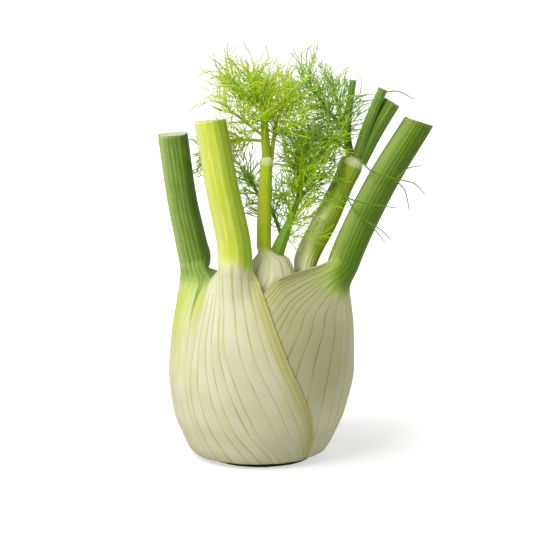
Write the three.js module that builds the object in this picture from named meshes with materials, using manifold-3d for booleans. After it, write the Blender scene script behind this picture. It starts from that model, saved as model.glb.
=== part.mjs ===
// Fennel bulb, standing on its cut base, with cut stalks and feathery fronds.
// Fleshy leaf bases are nested round a short stem, the crown. Each runs up into a stalk of its own.
// Millimetres, +Z up, the origin at the middle of the cut base. The front is -Y.
// Angles round the bulb are in degrees: 0 is the front, 90 the right side (+X), 180 the back.

import * as THREE from "three";
import Module from "manifold-3d";

const wasm = await Module();
wasm.setup();

// Driving dimensions
const BULB_WIDTH = 97;
const BULB_DEPTH = 77;
const BULB_HEIGHT = 98;
const GAP = 1; // between leaves that lie on each other
const JOINT_GAP = 0.5; // between a stalk's joint and the frond that grows from it

// The bulb's half width and half depth as shares of the largest, and its sideways lean, by height
const HALF_WIDTH = through([
  [0, 0.58],
  [4, 0.72],
  [13, 0.83],
  [26, 0.933],
  [48, 1],
  [66, 0.985],
  [84, 0.94],
  [BULB_HEIGHT, 0.895],
]);
const HALF_DEPTH = through([
  [0, 0.64],
  [4, 0.77],
  [13, 0.87],
  [26, 0.955],
  [48, 1],
  [66, 0.96],
  [84, 0.83],
  [BULB_HEIGHT, 0.66],
]);
const LEAN = through([
  [0, -1.4],
  [48, 0.7],
  [BULB_HEIGHT, 2.8],
]);

// The crown: a cut disc under the leaf bases, and the cone that they grow round
const CROWN_RADIUS = 27;
const CROWN_FLATTENING = 0.9; // its depth as a share of its width
const CROWN_EDGE = 1;
const CROWN_BEVEL = 1;
const CONE_RADIUS = 14.5;
const CONE_TOP_RADIUS = 11;
const CONE_HEIGHT = 12;
const CROWN_SIDES = 36;

// Leaf bases
const FOOT = CROWN_EDGE + GAP;
const INNER_FOOT = CONE_HEIGHT + GAP;
const CORE_GAP = 1.6; // from the outer leaves to the inner ones
const coreDepth = through([[0, 13.5], [55, 13.5], [84, 10], [104, 9]]); // of the outer leaves, by height
const FOOT_BAND = 8; // height of the rounded foot
const SHOULDER = 78; // height above which the leaf bases draw in
const MARGIN = 1.5; // thickness of a leaf base at its margins
const TUCK = 4; // degrees past a margin before the leaf below rises
const RISE = 11; // degrees over which it rises to the bulb's surface

// Veins: sunk lines on the fleshy bases, raised ribs on the stalks
const VEIN_DEPTH = 0.5;
const RIB_HEIGHT = 0.35;

// A stalk's section: most of it is the ribbed outer face, and the rest is a shallow channel
const OUTER_FACE = 125;
const CHANNEL_FACE = 43;
const CHANNEL_DEPTH = 0.16;

// How finely leaves are divided: across the inner face, and up the foot, the base, the neck and the stalk
const INNER_POINTS = 9;
const FOOT_STEPS = 2;
const BASE_STEPS = 8;
const NECK_STEPS = 8;
const STALK_STEP = 14; // millimetres

// The ellipses that the innermost leaf base follows, by height
const CENTRE_X = through([[13, -2.5], [45, -4], [72, -4], [88, -0.5], [99, 5], [110, 6]]);
const CENTRE_Y = through([[13, 0], [60, 0], [96, -5], [110, -5]]);
const CENTRE_HALF_WIDTH = through([[13, 19], [40, 27], [60, 27], [75, 25], [88, 19], [99, 11.6], [112, 8.4]]);
const CENTRE_HALF_DEPTH = through([[13, 13.5], [40, 17.5], [60, 17.5], [75, 15.5], [88, 13], [99, 10.6], [112, 7]]);

// Finishes
const CROWN_COLOUR = 0xc9b98c;
const CROWN_ROUGHNESS = 0.8;
const LEAF_ROUGHNESS = 0.45;
const FROND_ROUGHNESS = 0.5;

// Each leaf: its margins as [height, angle], and its stalk's middle line as [height, x, y].
// blend is the pair of heights between which the base narrows into the stalk, and marginLag is the share of
// that stretch by which its margins are late.
const LEAVES = {
  leaf_front: {
    shell: bulbShell,
    veins: 14,
    foot: FOOT,
    thickness: through([[0, 7.5], [60, 7.5], [88, 5.5]]),
    coveredBy: [],
    low: through([[0, -40], [13, -46], [39, -52], [64, -49], [88, -44], [108, -36]]),
    high: through([[0, 48], [13, 43], [25, 37], [39, 28], [53, 19], [71, 9.5], [86, 2], [108, -10]]),
    blend: [88, 110],
    marginLag: 0.2,
    line: path([[86, -14.6, -24], [108, -12.6, -22.5], [145, -18, -19], [178.5, -24.6, -15]]),
    width: through([[86, 20], [108, 17.8], [178.5, 15.9]]),
    depth: through([[86, 10], [108, 14.5], [178.5, 13.6]]),
    colour: 0xdfe6b4,
  },
  leaf_left: {
    shell: bulbShell,
    veins: 15,
    foot: FOOT,
    thickness: coreDepth,
    coveredBy: ["leaf_front"],
    low: through([[0, -200], [48, -206], [70, -200], [82, -184], [92, -156], [100, -128], [106, -116]]),
    high: through([[0, -28], [48, -38], [75, -38], [88, -42], [97, -56], [106, -78]]),
    blend: [84, 106],
    marginLag: 0,
    line: path([[82, -35, 2], [102, -34.8, 3], [115, -36.4, 3], [137, -40, 2], [170, -44.4, 0.5]]),
    width: through([[82, 22], [102, 17.6], [137, 16.2], [170, 15.4]]),
    depth: through([[82, 12], [102, 16.6], [137, 16], [170, 14.8]]),
    colour: 0xc6d78c,
  },
  leaf_right: {
    shell: bulbShell,
    veins: 17,
    foot: FOOT,
    thickness: coreDepth,
    coveredBy: ["leaf_front", "leaf_left"],
    low: through([[0, -22], [48, -32], [66, -30], [80, -13], [95, 9], [99, 18], [101.5, 34], [106, 66]]),
    high: through([[0, 180], [48, 188], [70, 180], [82, 160], [92, 136], [100, 118], [106, 110]]),
    blend: [74, 102],
    marginLag: 0.6,
    line: path([[74, 37.5, 0], [90, 38.8, 0], [102, 42.4, 1.5], [115, 47.6, 3], [145, 63, 9], [175.5, 82, 13]]),
    width: through([[74, 24], [98, 18.2], [175.5, 16.6]]),
    depth: through([[74, 16], [90, 17.8], [130, 17.6], [175.5, 16.4]]),
    colour: 0xcfdc9c,
  },
  leaf_inner_right: {
    shell: innerShell,
    veins: 8,
    foot: INNER_FOOT,
    thickness: () => 6.2,
    coveredBy: [],
    low: through([[13, -20], [50, -20], [66, 0], [78, 26], [88, 44], [96, 51], [104, 56]]),
    high: through([[13, 196], [50, 200], [72, 186], [86, 160], [96, 138], [104, 128]]),
    blend: [78, 104],
    marginLag: 0,
    line: path([[76, 20, 3], [99, 23.2, 4.4], [128, 35.6, 5], [150, 45.6, 6], [157, 48.6, 6]]),
    width: through([[76, 18], [99, 13.6], [125, 16], [146, 14], [152, 14.8], [157, 12.4]]),
    depth: through([[76, 8], [99, 10.4], [125, 11.4], [146, 10.4], [152, 11.4], [157, 9.4]]),
    colour: 0xc9d66a,
  },
  leaf_centre: {
    shell: centreShell,
    veins: 8,
    foot: INNER_FOOT,
    thickness: () => 5.4,
    coveredBy: [],
    low: through([[13, -186], [80, -186], [96, -160], [106, -118], [113, -100]]),
    high: through([[13, 136], [80, 136], [96, 112], [104, 84], [109, 48], [113, 20]]),
    blend: [103, 116],
    marginLag: 0.3,
    line: path([[100, 3, -8.5], [112, 2.2, -7], [135, 2.6, -5.5], [155, 3.5, -5], [158, 3.6, -5]]),
    width: through([[100, 9.5], [112, 8.4], [135, 7.6], [153, 6.8], [156, 7.3], [158, 6.3]]),
    depth: through([[100, 6], [112, 7.2], [135, 7], [153, 6.2], [156, 6.6], [158, 5.6]]),
    colour: 0xd8e07a,
  },
};

// Fronds: green stems set with feathery pinnae, each of them a slim rod with whorls of threads
const STEM_SIDES = 5;
const THICK_STEM = 2; // radius from which a stem has twice the sides
const GOLDEN_ANGLE = 137.5; // degrees from each pinna to the next, round the stem
const TURN_SPREAD = 40; // degrees of chance in that
const SPREAD_RANGE = [1.1, 0.35]; // of pinnae at the foot and the tip of a row, as shares of its spread
const LENGTH_RANGE = [1, 0.65]; // the same for their length
const LENGTH_CHANCE = [0.85, 1.15];
const PINNA_RADIUS = 0.65;
const PINNA_TAPER = 0.35;
const PINNA_SIDES = 3;
const WHORL_STEP = 4.8; // along the pinna
const WHORL_RANGE = [0.25, 0.88]; // shares of the pinna's length
const WHORL_TWIST = 50; // degrees that each whorl turns past the one before
const THREAD_BASE = 0.95; // how much of the pinna's length one thread grows from
const THREAD_LENGTHS = [12.1, 7.2]; // at the foot and the tip of a pinna
const THREAD_CHANCE = [0.75, 1.25];
const THREAD_SLANT = [36, 62]; // degrees from the pinna
const CLEARANCE = 0.4; // of pinnae and threads to every other piece
const THREAD_ROOM = 1.1; // between the middle lines of threads that pass each other
const RIB_START = 0.3; // share of a pinna that may lie close to its neighbours

// Each stem is given by [x, y, z] points and a radius at each of them. A rooted one stands on the joint of
// the frond's stalk. The pinnae start at one share of the stem and end at another. spread is how far they
// turn from the stem, bend how far they curve up (or down, below 0), and lean pulls them all one way.
const FRONDS = {
  frond_centre: {
    seed: 12,
    colour: 0xa6c92a,
    growsFrom: "leaf_centre",
    stems: [
      {
        rooted: true,
        points: [[3.6, -5, 158], [2.5, -5.3, 171], [2.1, -5.6, 180], [-0.7, -6, 189], [-3.5, -6.5, 197]],
        radii: [2.4, 2.1, 1.8, 1.3, 0.8],
        pinnae: { count: 10, from: 0.35, to: 0.97, length: 15, spread: 72, bend: 0.1, lean: [0, 0, 0] },
      },
      {
        rooted: true,
        points: [[5.6, -4.4, 158], [8.4, -3.6, 176], [14, -2, 189]],
        radii: [1.4, 1.2, 0.8],
        pinnae: { count: 9, from: 0.35, to: 0.97, length: 15, spread: 68, bend: 0.1, lean: [0.1, 0, 0] },
      },
      {
        points: [[2.5, -5.3, 169], [-10, -4, 177], [-24, -3, 183]],
        radii: [1, 0.9, 0.7],
        pinnae: { count: 9, from: 0.2, to: 0.97, length: 11, spread: 66, bend: 0.05, lean: [0, 0, 0] },
      },
      {
        points: [[1.4, -5.7, 182], [-9, -9, 190], [-18, -10, 198]],
        radii: [1, 0.9, 0.7],
        pinnae: { count: 7, from: 0.25, to: 0.97, length: 10, spread: 66, bend: 0.05, lean: [0, 0, 0] },
      },
      {
        points: [[2.4, -5.4, 174], [4, 6, 183], [4, 15, 189]],
        radii: [1, 0.9, 0.7],
        pinnae: { count: 7, from: 0.25, to: 0.97, length: 11, spread: 66, bend: 0.05, lean: [0, 0, 0] },
      },
      {
        points: [[2.6, -5.2, 167], [-9, 3, 167], [-22, 4, 162], [-31, 3, 154]],
        radii: [0.8, 0.75, 0.7, 0.65],
        pinnae: { count: 7, from: 0.2, to: 0.97, length: 10, spread: 50, bend: -0.1, lean: [0, 0, -0.1] },
      },
    ],
  },
  frond_right: {
    seed: 23,
    colour: 0x6fa52c,
    growsFrom: "leaf_inner_right",
    stems: [
      { rooted: true, points: [[51, 6.4, 156.4], [59, 6.4, 171], [68, 6, 186]], radii: [4.3, 4.3, 4.2] },
      { rooted: true, points: [[49.6, 4, 157], [54.5, 3, 172], [63, 2.5, 193]], radii: [2.6, 2.5, 2.3] },
      { rooted: true, points: [[47, 8.5, 158], [45, 9.5, 170], [48, 10, 197]], radii: [2.1, 1.9, 1.6] },
      {
        points: [[45.6, 9.2, 165], [38, 9, 178], [29, 8.5, 190], [25, 8, 197]],
        radii: [1.5, 1.3, 1.1, 0.8],
        pinnae: { count: 15, from: 0.15, to: 0.97, length: 14, spread: 80, bend: 0.05, lean: [0, 0, 0] },
      },
      {
        points: [[45.2, 9.4, 170], [41, 11, 182], [38, 13, 193]],
        radii: [1.4, 1.2, 0.8],
        pinnae: { count: 9, from: 0.25, to: 0.97, length: 12, spread: 76, bend: 0.05, lean: [0, 0, 0] },
      },
      {
        points: [[46, 7.4, 161], [37, 4, 166], [28, 2, 168]],
        radii: [1, 0.9, 0.7],
        pinnae: { count: 8, from: 0.3, to: 0.97, length: 11, spread: 66, bend: 0, lean: [0, 0, 0] },
      },
      {
        points: [[51, 3.5, 160], [56, -1.5, 153], [66, -2.5, 147.5], [76, 0, 143], [82, 2, 138]],
        radii: [0.8, 0.7, 0.65, 0.65, 0.6],
        pinnae: { count: 4, from: 0.55, to: 0.97, length: 8, spread: 40, bend: -0.1, lean: [0.1, 0, 0] },
      },
    ],
  },
  frond_inner: {
    seed: 37,
    colour: 0x7fae24,
    stems: [
      {
        points: [
          [0, 0, INNER_FOOT],
          [0, 0, 60],
          [5, -2, 96],
          [7.5, -2, 111],
          [13, -1, 122],
          [19, 2, 135],
          [23, 5, 156],
        ],
        radii: [3.2, 3.4, 3.6, 3.5, 2.7, 1.8, 0.8],
        pinnae: { count: 15, from: 0.73, to: 0.99, length: 14, spread: 72, bend: 0.15, lean: [0, 0, 0.1] },
      },
      {
        points: [[17, 1, 131], [24, 2, 140], [32, 1, 147]],
        radii: [1, 0.9, 0.7],
        pinnae: { count: 7, from: 0.25, to: 0.97, length: 10, spread: 62, bend: 0.05, lean: [0, 0, 0] },
      },
      {
        points: [[11, -1.2, 118], [6, 5, 130], [-2, 8, 140], [-6, 8, 147]],
        radii: [1, 0.9, 0.8, 0.7],
        pinnae: { count: 6, from: 0.3, to: 0.97, length: 10, spread: 60, bend: 0.1, lean: [0, 0, 0] },
      },
    ],
  },
};

// A smooth curve through [x, y] knots that never overshoots them
function through(knots) {
  const last = knots.length - 1;
  const slope = (i) => (knots[i + 1][1] - knots[i][1]) / (knots[i + 1][0] - knots[i][0]);
  const tangents = knots.map((_, i) => {
    if (i === 0 || i === last) return slope(Math.min(i, last - 1));
    const [before, after] = [slope(i - 1), slope(i)];
    return before * after <= 0 ? 0 : (2 * before * after) / (before + after);
  });
  return (x) => {
    const next = knots.findIndex(([k]) => k > x);
    const i = next < 0 ? last - 1 : Math.max(next - 1, 0);
    const step = knots[i + 1][0] - knots[i][0];
    const t = THREE.MathUtils.clamp((x - knots[i][0]) / step, 0, 1);
    const rise = (3 - 2 * t) * t * t;
    const bend = t * (1 - t) * step;
    const level = knots[i][1] * (1 - rise) + knots[i + 1][1] * rise;
    return level + bend * (tangents[i] * (1 - t) - tangents[i + 1] * t);
  };
}

// A stalk's middle line by height, from [height, x, y] knots
function path(knots) {
  const x = through(knots.map(([height, px]) => [height, px]));
  const y = through(knots.map(([height, , py]) => [height, py]));
  const point = (height) => new THREE.Vector3(x(height), y(height), height);
  const tangent = (height) => point(height + 0.5).sub(point(height - 0.5)).setZ(1).normalize();
  return { point, tangent, top: knots[knots.length - 1][0] };
}

// The ellipses that the leaf bases follow: middle and half axes at a height
function bulbShell(height) {
  return {
    x: LEAN(height),
    y: 0,
    halfWidth: (BULB_WIDTH / 2) * HALF_WIDTH(height),
    halfDepth: (BULB_DEPTH / 2) * HALF_DEPTH(height),
  };
}

function innerShell(height) {
  const outer = bulbShell(height);
  const inset = coreDepth(height) + CORE_GAP;
  return { ...outer, halfWidth: outer.halfWidth - inset, halfDepth: outer.halfDepth - inset };
}

function centreShell(height) {
  return {
    x: CENTRE_X(height),
    y: CENTRE_Y(height),
    halfWidth: CENTRE_HALF_WIDTH(height),
    halfDepth: CENTRE_HALF_DEPTH(height),
  };
}

// A point on a shell, sunk by a depth
function onShell(shell, angle, depth, height) {
  const turn = THREE.MathUtils.degToRad(angle);
  return new THREE.Vector3(
    shell.x + (shell.halfWidth - depth) * Math.sin(turn),
    shell.y - (shell.halfDepth - depth) * Math.cos(turn),
    height,
  );
}

// How thick a leaf base is, from its margins (share 0 and 1) to its middle
function baseThickness(leaf, share, sunk, height) {
  const swell = Math.sqrt(Math.max(Math.sin(Math.PI * share), 0));
  return THREE.MathUtils.lerp(MARGIN, Math.max(leaf.thickness(height) - sunk, MARGIN), swell);
}

// How deep a leaf base is pressed in by the leaves that lie over it
function sunkDepth(leaf, angle, height) {
  const depths = leaf.coveredBy.map((name) => {
    const cover = LEAVES[name];
    const [low, high] = [cover.low(height), cover.high(height)];
    const turned = angle > high + 180 ? angle - 360 : angle;
    const share = THREE.MathUtils.clamp((turned - low) / (high - low), 0, 1);
    const beyond = Math.max(low - turned, turned - high, 0);
    const under = sunkDepth(cover, turned, height) + baseThickness(cover, share, 0, height) + GAP;
    return under * (1 - THREE.MathUtils.smoothstep(beyond, TUCK, TUCK + RISE));
  });
  return Math.max(0, ...depths);
}

// A leaf's cross-section as a closed list of places: along the ribbed outer face, then back inside
function sectionPlaces(veins) {
  const steps = 2 * veins;
  const outer = Array.from({ length: steps + 1 }, (_, i) => ({ share: i / steps, vein: i % 2 === 1 }));
  const last = INNER_POINTS - 1;
  const inner = Array.from({ length: INNER_POINTS }, (_, i) => ({ share: 1 - i / last, inside: true }));
  return [...outer, ...inner];
}

function basePoint(leaf, place, height) {
  const shell = leaf.shell(height);
  const angle = THREE.MathUtils.lerp(leaf.low(height), leaf.high(height), place.share);
  const sunk = sunkDepth(leaf, angle, height);
  const into = place.inside ? baseThickness(leaf, place.share, sunk, height) : 0;
  return onShell(shell, angle, sunk + into + (place.vein ? VEIN_DEPTH : 0), height);
}

function stalkPoint(leaf, place, height) {
  const shell = leaf.shell(Math.min(height, leaf.blend[1]));
  const middle = leaf.line.point(height);
  const along = leaf.line.tangent(height);
  const foot = leaf.line.point(leaf.blend[0]);
  const [x, y] = [(foot.x - shell.x) / shell.halfWidth, (foot.y - shell.y) / shell.halfDepth];
  const outward = new THREE.Vector3(x, y, 0);
  outward.addScaledVector(along, -outward.dot(along)).normalize();
  const sideways = new THREE.Vector3().crossVectors(along, outward);
  const turn = place.inside
    ? 180 + (1 - 2 * place.share) * CHANNEL_FACE
    : THREE.MathUtils.lerp(-OUTER_FACE, OUTER_FACE, place.share);
  const angle = THREE.MathUtils.degToRad(turn);
  const hollow = place.inside ? 1 - CHANNEL_DEPTH * Math.sin(Math.PI * place.share) : 1;
  const rib = place.vein ? RIB_HEIGHT : 0;
  return middle
    .addScaledVector(sideways, (leaf.width(height) / 2 + rib) * hollow * Math.sin(angle))
    .addScaledVector(outward, (leaf.depth(height) / 2 + rib) * hollow * Math.cos(angle));
}

// Heights of a leaf's rings: close together near the foot and where the base narrows
function ringHeights({ foot, blend: [, narrowed], line }) {
  const between = (from, to, steps) =>
    Array.from({ length: steps }, (_, i) => THREE.MathUtils.lerp(from, to, i / steps));
  const low = foot + FOOT_BAND;
  const stalkSteps = Math.round((line.top - narrowed) / STALK_STEP);
  return [
    ...between(foot, low, FOOT_STEPS),
    ...between(low, SHOULDER, BASE_STEPS),
    ...between(SHOULDER, narrowed, NECK_STEPS),
    ...between(narrowed, line.top, stalkSteps),
    line.top,
  ];
}

function leafGeometry(leaf) {
  const places = sectionPlaces(leaf.veins);
  const [start, end] = leaf.blend;
  const pointOf = (place, height) => {
    const lag = leaf.marginLag * (end - start) * (2 * place.share - 1) ** 2;
    const towardsStalk = THREE.MathUtils.smoothstep(height, start + lag, end);
    return basePoint(leaf, place, height).lerp(stalkPoint(leaf, place, height), towardsStalk);
  };
  return loft(ringHeights(leaf).map((height) => places.map((place) => pointOf(place, height))));
}

// A closed solid through rings of points, with a flat cap at each end, or an apex where the last ring is
// one point
function loft(rings) {
  const count = rings[0].length;
  const points = rings.flat();
  const faces = [];
  rings.slice(0, -1).forEach((_, j) => {
    const pointed = rings[j + 1].length === 1;
    for (let i = 0; i < count; i++) {
      const [a, b] = [j * count + i, j * count + ((i + 1) % count)];
      if (pointed) faces.push(a, b, points.length - 1);
      else faces.push(a, b, b + count, a, b + count, a + count);
    }
  });
  faces.push(...capFaces(rings[0], 0, false));
  const end = rings[rings.length - 1];
  if (end.length > 1) faces.push(...capFaces(end, points.length - count, true));
  const geometry = new THREE.BufferGeometry().setFromPoints(points);
  geometry.setIndex(signedVolume(points, faces) < 0 ? faces.reverse() : faces);
  return geometry;
}

// Triangles that close a ring, turning with it or against it
function capFaces(ring, offset, withRing) {
  const middle = ring.reduce((sum, p) => sum.add(p), new THREE.Vector3()).divideScalar(ring.length);
  const normal = new THREE.Vector3();
  ring.forEach((p, i) => {
    const next = ring[(i + 1) % ring.length];
    normal.add(p.clone().sub(middle).cross(next.clone().sub(middle)));
  });
  const flat = new THREE.Quaternion().setFromUnitVectors(normal.normalize(), new THREE.Vector3(0, 0, 1));
  const outline = ring.map((p) => {
    const q = p.clone().sub(middle).applyQuaternion(flat);
    return new THREE.Vector2(q.x, q.y);
  });
  return THREE.ShapeUtils.triangulateShape(outline, []).flatMap((corners) => {
    const turnsWith = !THREE.ShapeUtils.isClockWise(corners.map((i) => outline[i]));
    const kept = turnsWith === withRing ? corners : [...corners].reverse();
    return kept.map((i) => offset + i);
  });
}

function signedVolume(points, faces) {
  let sum = 0;
  for (let i = 0; i < faces.length; i += 3) {
    const [a, b, c] = [points[faces[i]], points[faces[i + 1]], points[faces[i + 2]]];
    sum += a.dot(new THREE.Vector3().crossVectors(b, c));
  }
  return sum / 6;
}

// The rings of a tapered rod along a curve
function rodRings(curve, radiusAt, sides, steps) {
  const frames = curve.computeFrenetFrames(steps, false);
  return Array.from({ length: steps + 1 }, (_, j) => {
    const [share, across, over] = [j / steps, frames.normals[j], frames.binormals[j]];
    return ringAround(curve.getPointAt(share), across, over, radiusAt(share), sides, 0);
  });
}

function ringAround(middle, across, over, radius, sides, twist) {
  return Array.from({ length: sides }, (_, i) => {
    const turn = (2 * Math.PI * i) / sides + twist;
    return middle
      .clone()
      .addScaledVector(across, radius * Math.cos(turn))
      .addScaledVector(over, radius * Math.sin(turn));
  });
}

function toSolid(geometry) {
  const vertProperties = new Float32Array(geometry.getAttribute("position").array);
  const triVerts = new Uint32Array(geometry.index.array);
  return new wasm.Manifold(new wasm.Mesh({ numProp: 3, vertProperties, triVerts }));
}

function toGeometry(solid) {
  const { vertProperties, triVerts } = solid.getMesh();
  return new THREE.BufferGeometry()
    .setAttribute("position", new THREE.BufferAttribute(vertProperties, 3))
    .setIndex(new THREE.BufferAttribute(triVerts, 1));
}

// Evenly spread random numbers from 0 to 1, the same on every run
function seededRandom(seed) {
  let state = seed;
  return () => {
    state = (state * 1664525 + 1013904223) % 4294967296;
    return state / 4294967296;
  };
}

// A unit vector turned away from an axis by a slant, at an angle round that axis
function aside(axis, slant, around) {
  const [first, second] = sideAxes(axis);
  const [s, r] = [THREE.MathUtils.degToRad(slant), THREE.MathUtils.degToRad(around)];
  return axis
    .clone()
    .multiplyScalar(Math.cos(s))
    .addScaledVector(first, Math.sin(s) * Math.cos(r))
    .addScaledVector(second, Math.sin(s) * Math.sin(r));
}

// A curve that leaves a root in one direction and bends towards another
function bentCurve(root, direction, length, bend) {
  const middle = root.clone().addScaledVector(direction, length / 2);
  const tip = root.clone().addScaledVector(direction, length).addScaledVector(bend, length);
  return new THREE.QuadraticBezierCurve3(root, middle, tip);
}

// The pinnae along a stem, spread round it by the golden angle and closing up towards its tip
function pinnaCurves(stem, row, random) {
  const lean = new THREE.Vector3(...row.lean);
  return Array.from({ length: row.count }, (_, i) => {
    const place = i / (row.count - 1);
    const share = THREE.MathUtils.lerp(row.from, row.to, place);
    const slant = row.spread * THREE.MathUtils.lerp(...SPREAD_RANGE, place);
    const around = i * GOLDEN_ANGLE + TURN_SPREAD * random();
    const direction = aside(stem.getTangentAt(share), slant, around).add(lean).normalize();
    const chance = THREE.MathUtils.lerp(...LENGTH_CHANCE, random());
    const length = row.length * chance * THREE.MathUtils.lerp(...LENGTH_RANGE, place);
    return bentCurve(stem.getPointAt(share), direction, length, new THREE.Vector3(0, 0, row.bend));
  });
}

// One pinna: a slim rod with a ring of threads drawn out of its faces at each whorl.
// hasRoom says whether a thread can grow along a line.
function pinnaGeometry(curve, random, hasRoom) {
  const half = THREAD_BASE / 2 / curve.getLength();
  const count = Math.max(2, Math.round(curve.getLength() / WHORL_STEP));
  const whorlShare = (i) => THREE.MathUtils.lerp(...WHORL_RANGE, i / (count - 1));
  const whorls = Array.from({ length: count }, (_, i) => whorlShare(i));
  const shares = [0, ...whorls.flatMap((share) => [share - half, share + half])];
  const [across, over] = sideAxes(curve.getTangentAt(0.5));
  const rings = shares.map((share, j) => {
    const twist = THREE.MathUtils.degToRad(WHORL_TWIST * Math.floor((j + 1) / 2));
    const radius = PINNA_RADIUS * (1 - PINNA_TAPER * share);
    return ringAround(curve.getPointAt(share), across, over, radius, PINNA_SIDES, twist);
  });
  const points = [...rings.flat(), curve.getPointAt(1)];
  const faces = Array.from(loft([...rings, [curve.getPointAt(1)]]).index.array);
  const corner = (ring, side) => ring * PINNA_SIDES + (side % PINNA_SIDES);
  whorls.forEach((share, w) => {
    for (let side = 0; side < PINNA_SIDES; side++) {
      const [low, high] = [2 * w + 1, 2 * w + 2];
      const quad = [corner(low, side), corner(low, side + 1), corner(high, side + 1), corner(high, side)];
      const root = quad.reduce((sum, k) => sum.add(points[k]), new THREE.Vector3()).divideScalar(4);
      const thread = threadLine(curve, share, root, random);
      if (hasRoom(thread)) raise(faces, quad, points.push(thread.end) - 1);
    }
  });
  return new THREE.BufferGeometry().setFromPoints(points).setIndex(faces);
}

function threadLine(curve, share, root, random) {
  const outward = root.clone().sub(curve.getPointAt(share)).normalize();
  const slant = THREE.MathUtils.degToRad(THREE.MathUtils.lerp(...THREAD_SLANT, random()));
  const chance = THREE.MathUtils.lerp(...THREAD_CHANCE, random());
  const length = chance * THREE.MathUtils.lerp(...THREAD_LENGTHS, share);
  const tip = root.clone().addScaledVector(curve.getTangentAt(share), length * Math.cos(slant));
  return new THREE.Line3(root, tip.addScaledVector(outward, length * Math.sin(slant)));
}

// Two axes square to a direction
function sideAxes(direction) {
  const across = new THREE.Vector3(0, 1, 0).cross(direction).normalize();
  return [across, new THREE.Vector3().crossVectors(direction, across)];
}

// Replaces the two triangles of a four-cornered face by four that rise to a tip
function raise(faces, quad, tip) {
  const inQuad = (i) => faces.slice(i, i + 3).every((k) => quad.includes(k));
  const first = Array.from({ length: faces.length / 3 }, (_, t) => 3 * t).find(inQuad);
  const turnsWith = quad.indexOf(faces[first + 1]) === (quad.indexOf(faces[first]) + 1) % 4;
  for (let i = faces.length - 3; i >= 0; i -= 3) if (inQuad(i)) faces.splice(i, 3);
  quad.forEach((a, k) => {
    const b = quad[(k + 1) % 4];
    faces.push(...(turnsWith ? [a, b, tip] : [b, a, tip]));
  });
}

// A stem's middle line and its rod, which stands a little clear of the joint where it is rooted
function stemRod({ points, radii, rooted }, leaf) {
  const curve = new THREE.CatmullRomCurve3(points.map((p) => new THREE.Vector3(...p)));
  const radiusAt = through(radii.map((radius, i) => [i / (radii.length - 1), radius]));
  const sides = radii[0] > THICK_STEM ? 2 * STEM_SIDES : STEM_SIDES;
  const rings = rodRings(curve, radiusAt, sides, 2 * points.length);
  if (rooted) {
    const up = leaf.line.tangent(leaf.line.top);
    const joint = leaf.line.point(leaf.line.top).addScaledVector(up, JOINT_GAP);
    const along = curve.getTangentAt(0);
    rings[0].forEach((p) => p.addScaledVector(along, joint.clone().sub(p).dot(up) / along.dot(up)));
  }
  return { curve, solid: toSolid(loft(rings)) };
}

// One frond fused into a single body, in which hollows closed in by the threads are filled.
// Pinnae and threads that would meet another piece or each other are left out.
function frondSolid(frond, others) {
  const random = seededRandom(frond.seed);
  const isClear = (curve) => {
    const fat = toSolid(loft(rodRings(curve, () => PINNA_RADIUS + CLEARANCE, PINNA_SIDES, 2)));
    return others.every((other) => fat.intersect(other).volume() === 0);
  };
  const grown = [];
  const hasRoom = (line) => {
    const free = grown.every((other) => line.distanceSqToLine3(other) > THREAD_ROOM ** 2);
    return free && isClear(new THREE.LineCurve3(line.start, line.end));
  };
  const stems = frond.stems.map((stem) => ({ ...stem, ...stemRod(stem, LEAVES[frond.growsFrom]) }));
  const pinnae = stems.flatMap(({ curve, pinnae: row }) => (row ? pinnaCurves(curve, row, random) : []));
  const bodies = stems.map(({ solid }) => solid);
  pinnae.forEach((curve) => {
    const rib = new THREE.Line3(curve.getPointAt(RIB_START), curve.getPointAt(1));
    if (!isClear(curve) || !hasRoom(rib)) return;
    const own = [rib];
    const geometry = pinnaGeometry(curve, random, (line) => hasRoom(line) && own.push(line));
    grown.push(...own);
    bodies.push(toSolid(geometry));
  });
  const pieces = wasm.Manifold.union(bodies).decompose();
  return pieces.reduce((largest, piece) => (piece.volume() > largest.volume() ? piece : largest));
}

function crownGeometry() {
  const profile = [
    [0, 0],
    [CROWN_RADIUS - CROWN_BEVEL, 0],
    [CROWN_RADIUS, CROWN_EDGE / 2],
    [CROWN_RADIUS - CROWN_BEVEL, CROWN_EDGE],
    [CONE_RADIUS, CROWN_EDGE],
    [CONE_TOP_RADIUS, CONE_HEIGHT],
    [0, CONE_HEIGHT],
  ];
  const lathe = new THREE.LatheGeometry(profile.map(([r, z]) => new THREE.Vector2(r, z)), CROWN_SIDES);
  return lathe.rotateX(Math.PI / 2).scale(1, CROWN_FLATTENING, 1);
}

function named(name, geometry, colour, roughness) {
  geometry.computeVertexNormals();
  const material = new THREE.MeshStandardMaterial({ color: colour, roughness, metalness: 0 });
  const mesh = new THREE.Mesh(geometry, material);
  mesh.name = name;
  return mesh;
}

const fennel = new THREE.Group();
fennel.name = "fennel_bulb";
fennel.add(named("crown", crownGeometry(), CROWN_COLOUR, CROWN_ROUGHNESS));

const solids = [];
Object.entries(LEAVES).forEach(([name, leaf]) => {
  const geometry = leafGeometry(leaf);
  solids.push(toSolid(geometry));
  fennel.add(named(name, geometry, leaf.colour, LEAF_ROUGHNESS));
});
Object.entries(FRONDS).forEach(([name, frond]) => {
  const solid = frondSolid(frond, solids);
  solids.push(solid);
  fennel.add(named(name, toGeometry(solid), frond.colour, FROND_ROUGHNESS));
});

export default fennel;
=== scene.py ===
"""Looks of a fennel bulb: veined fleshy leaf bases, cut stalks, feathery fronds, and a plain stage."""

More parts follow.
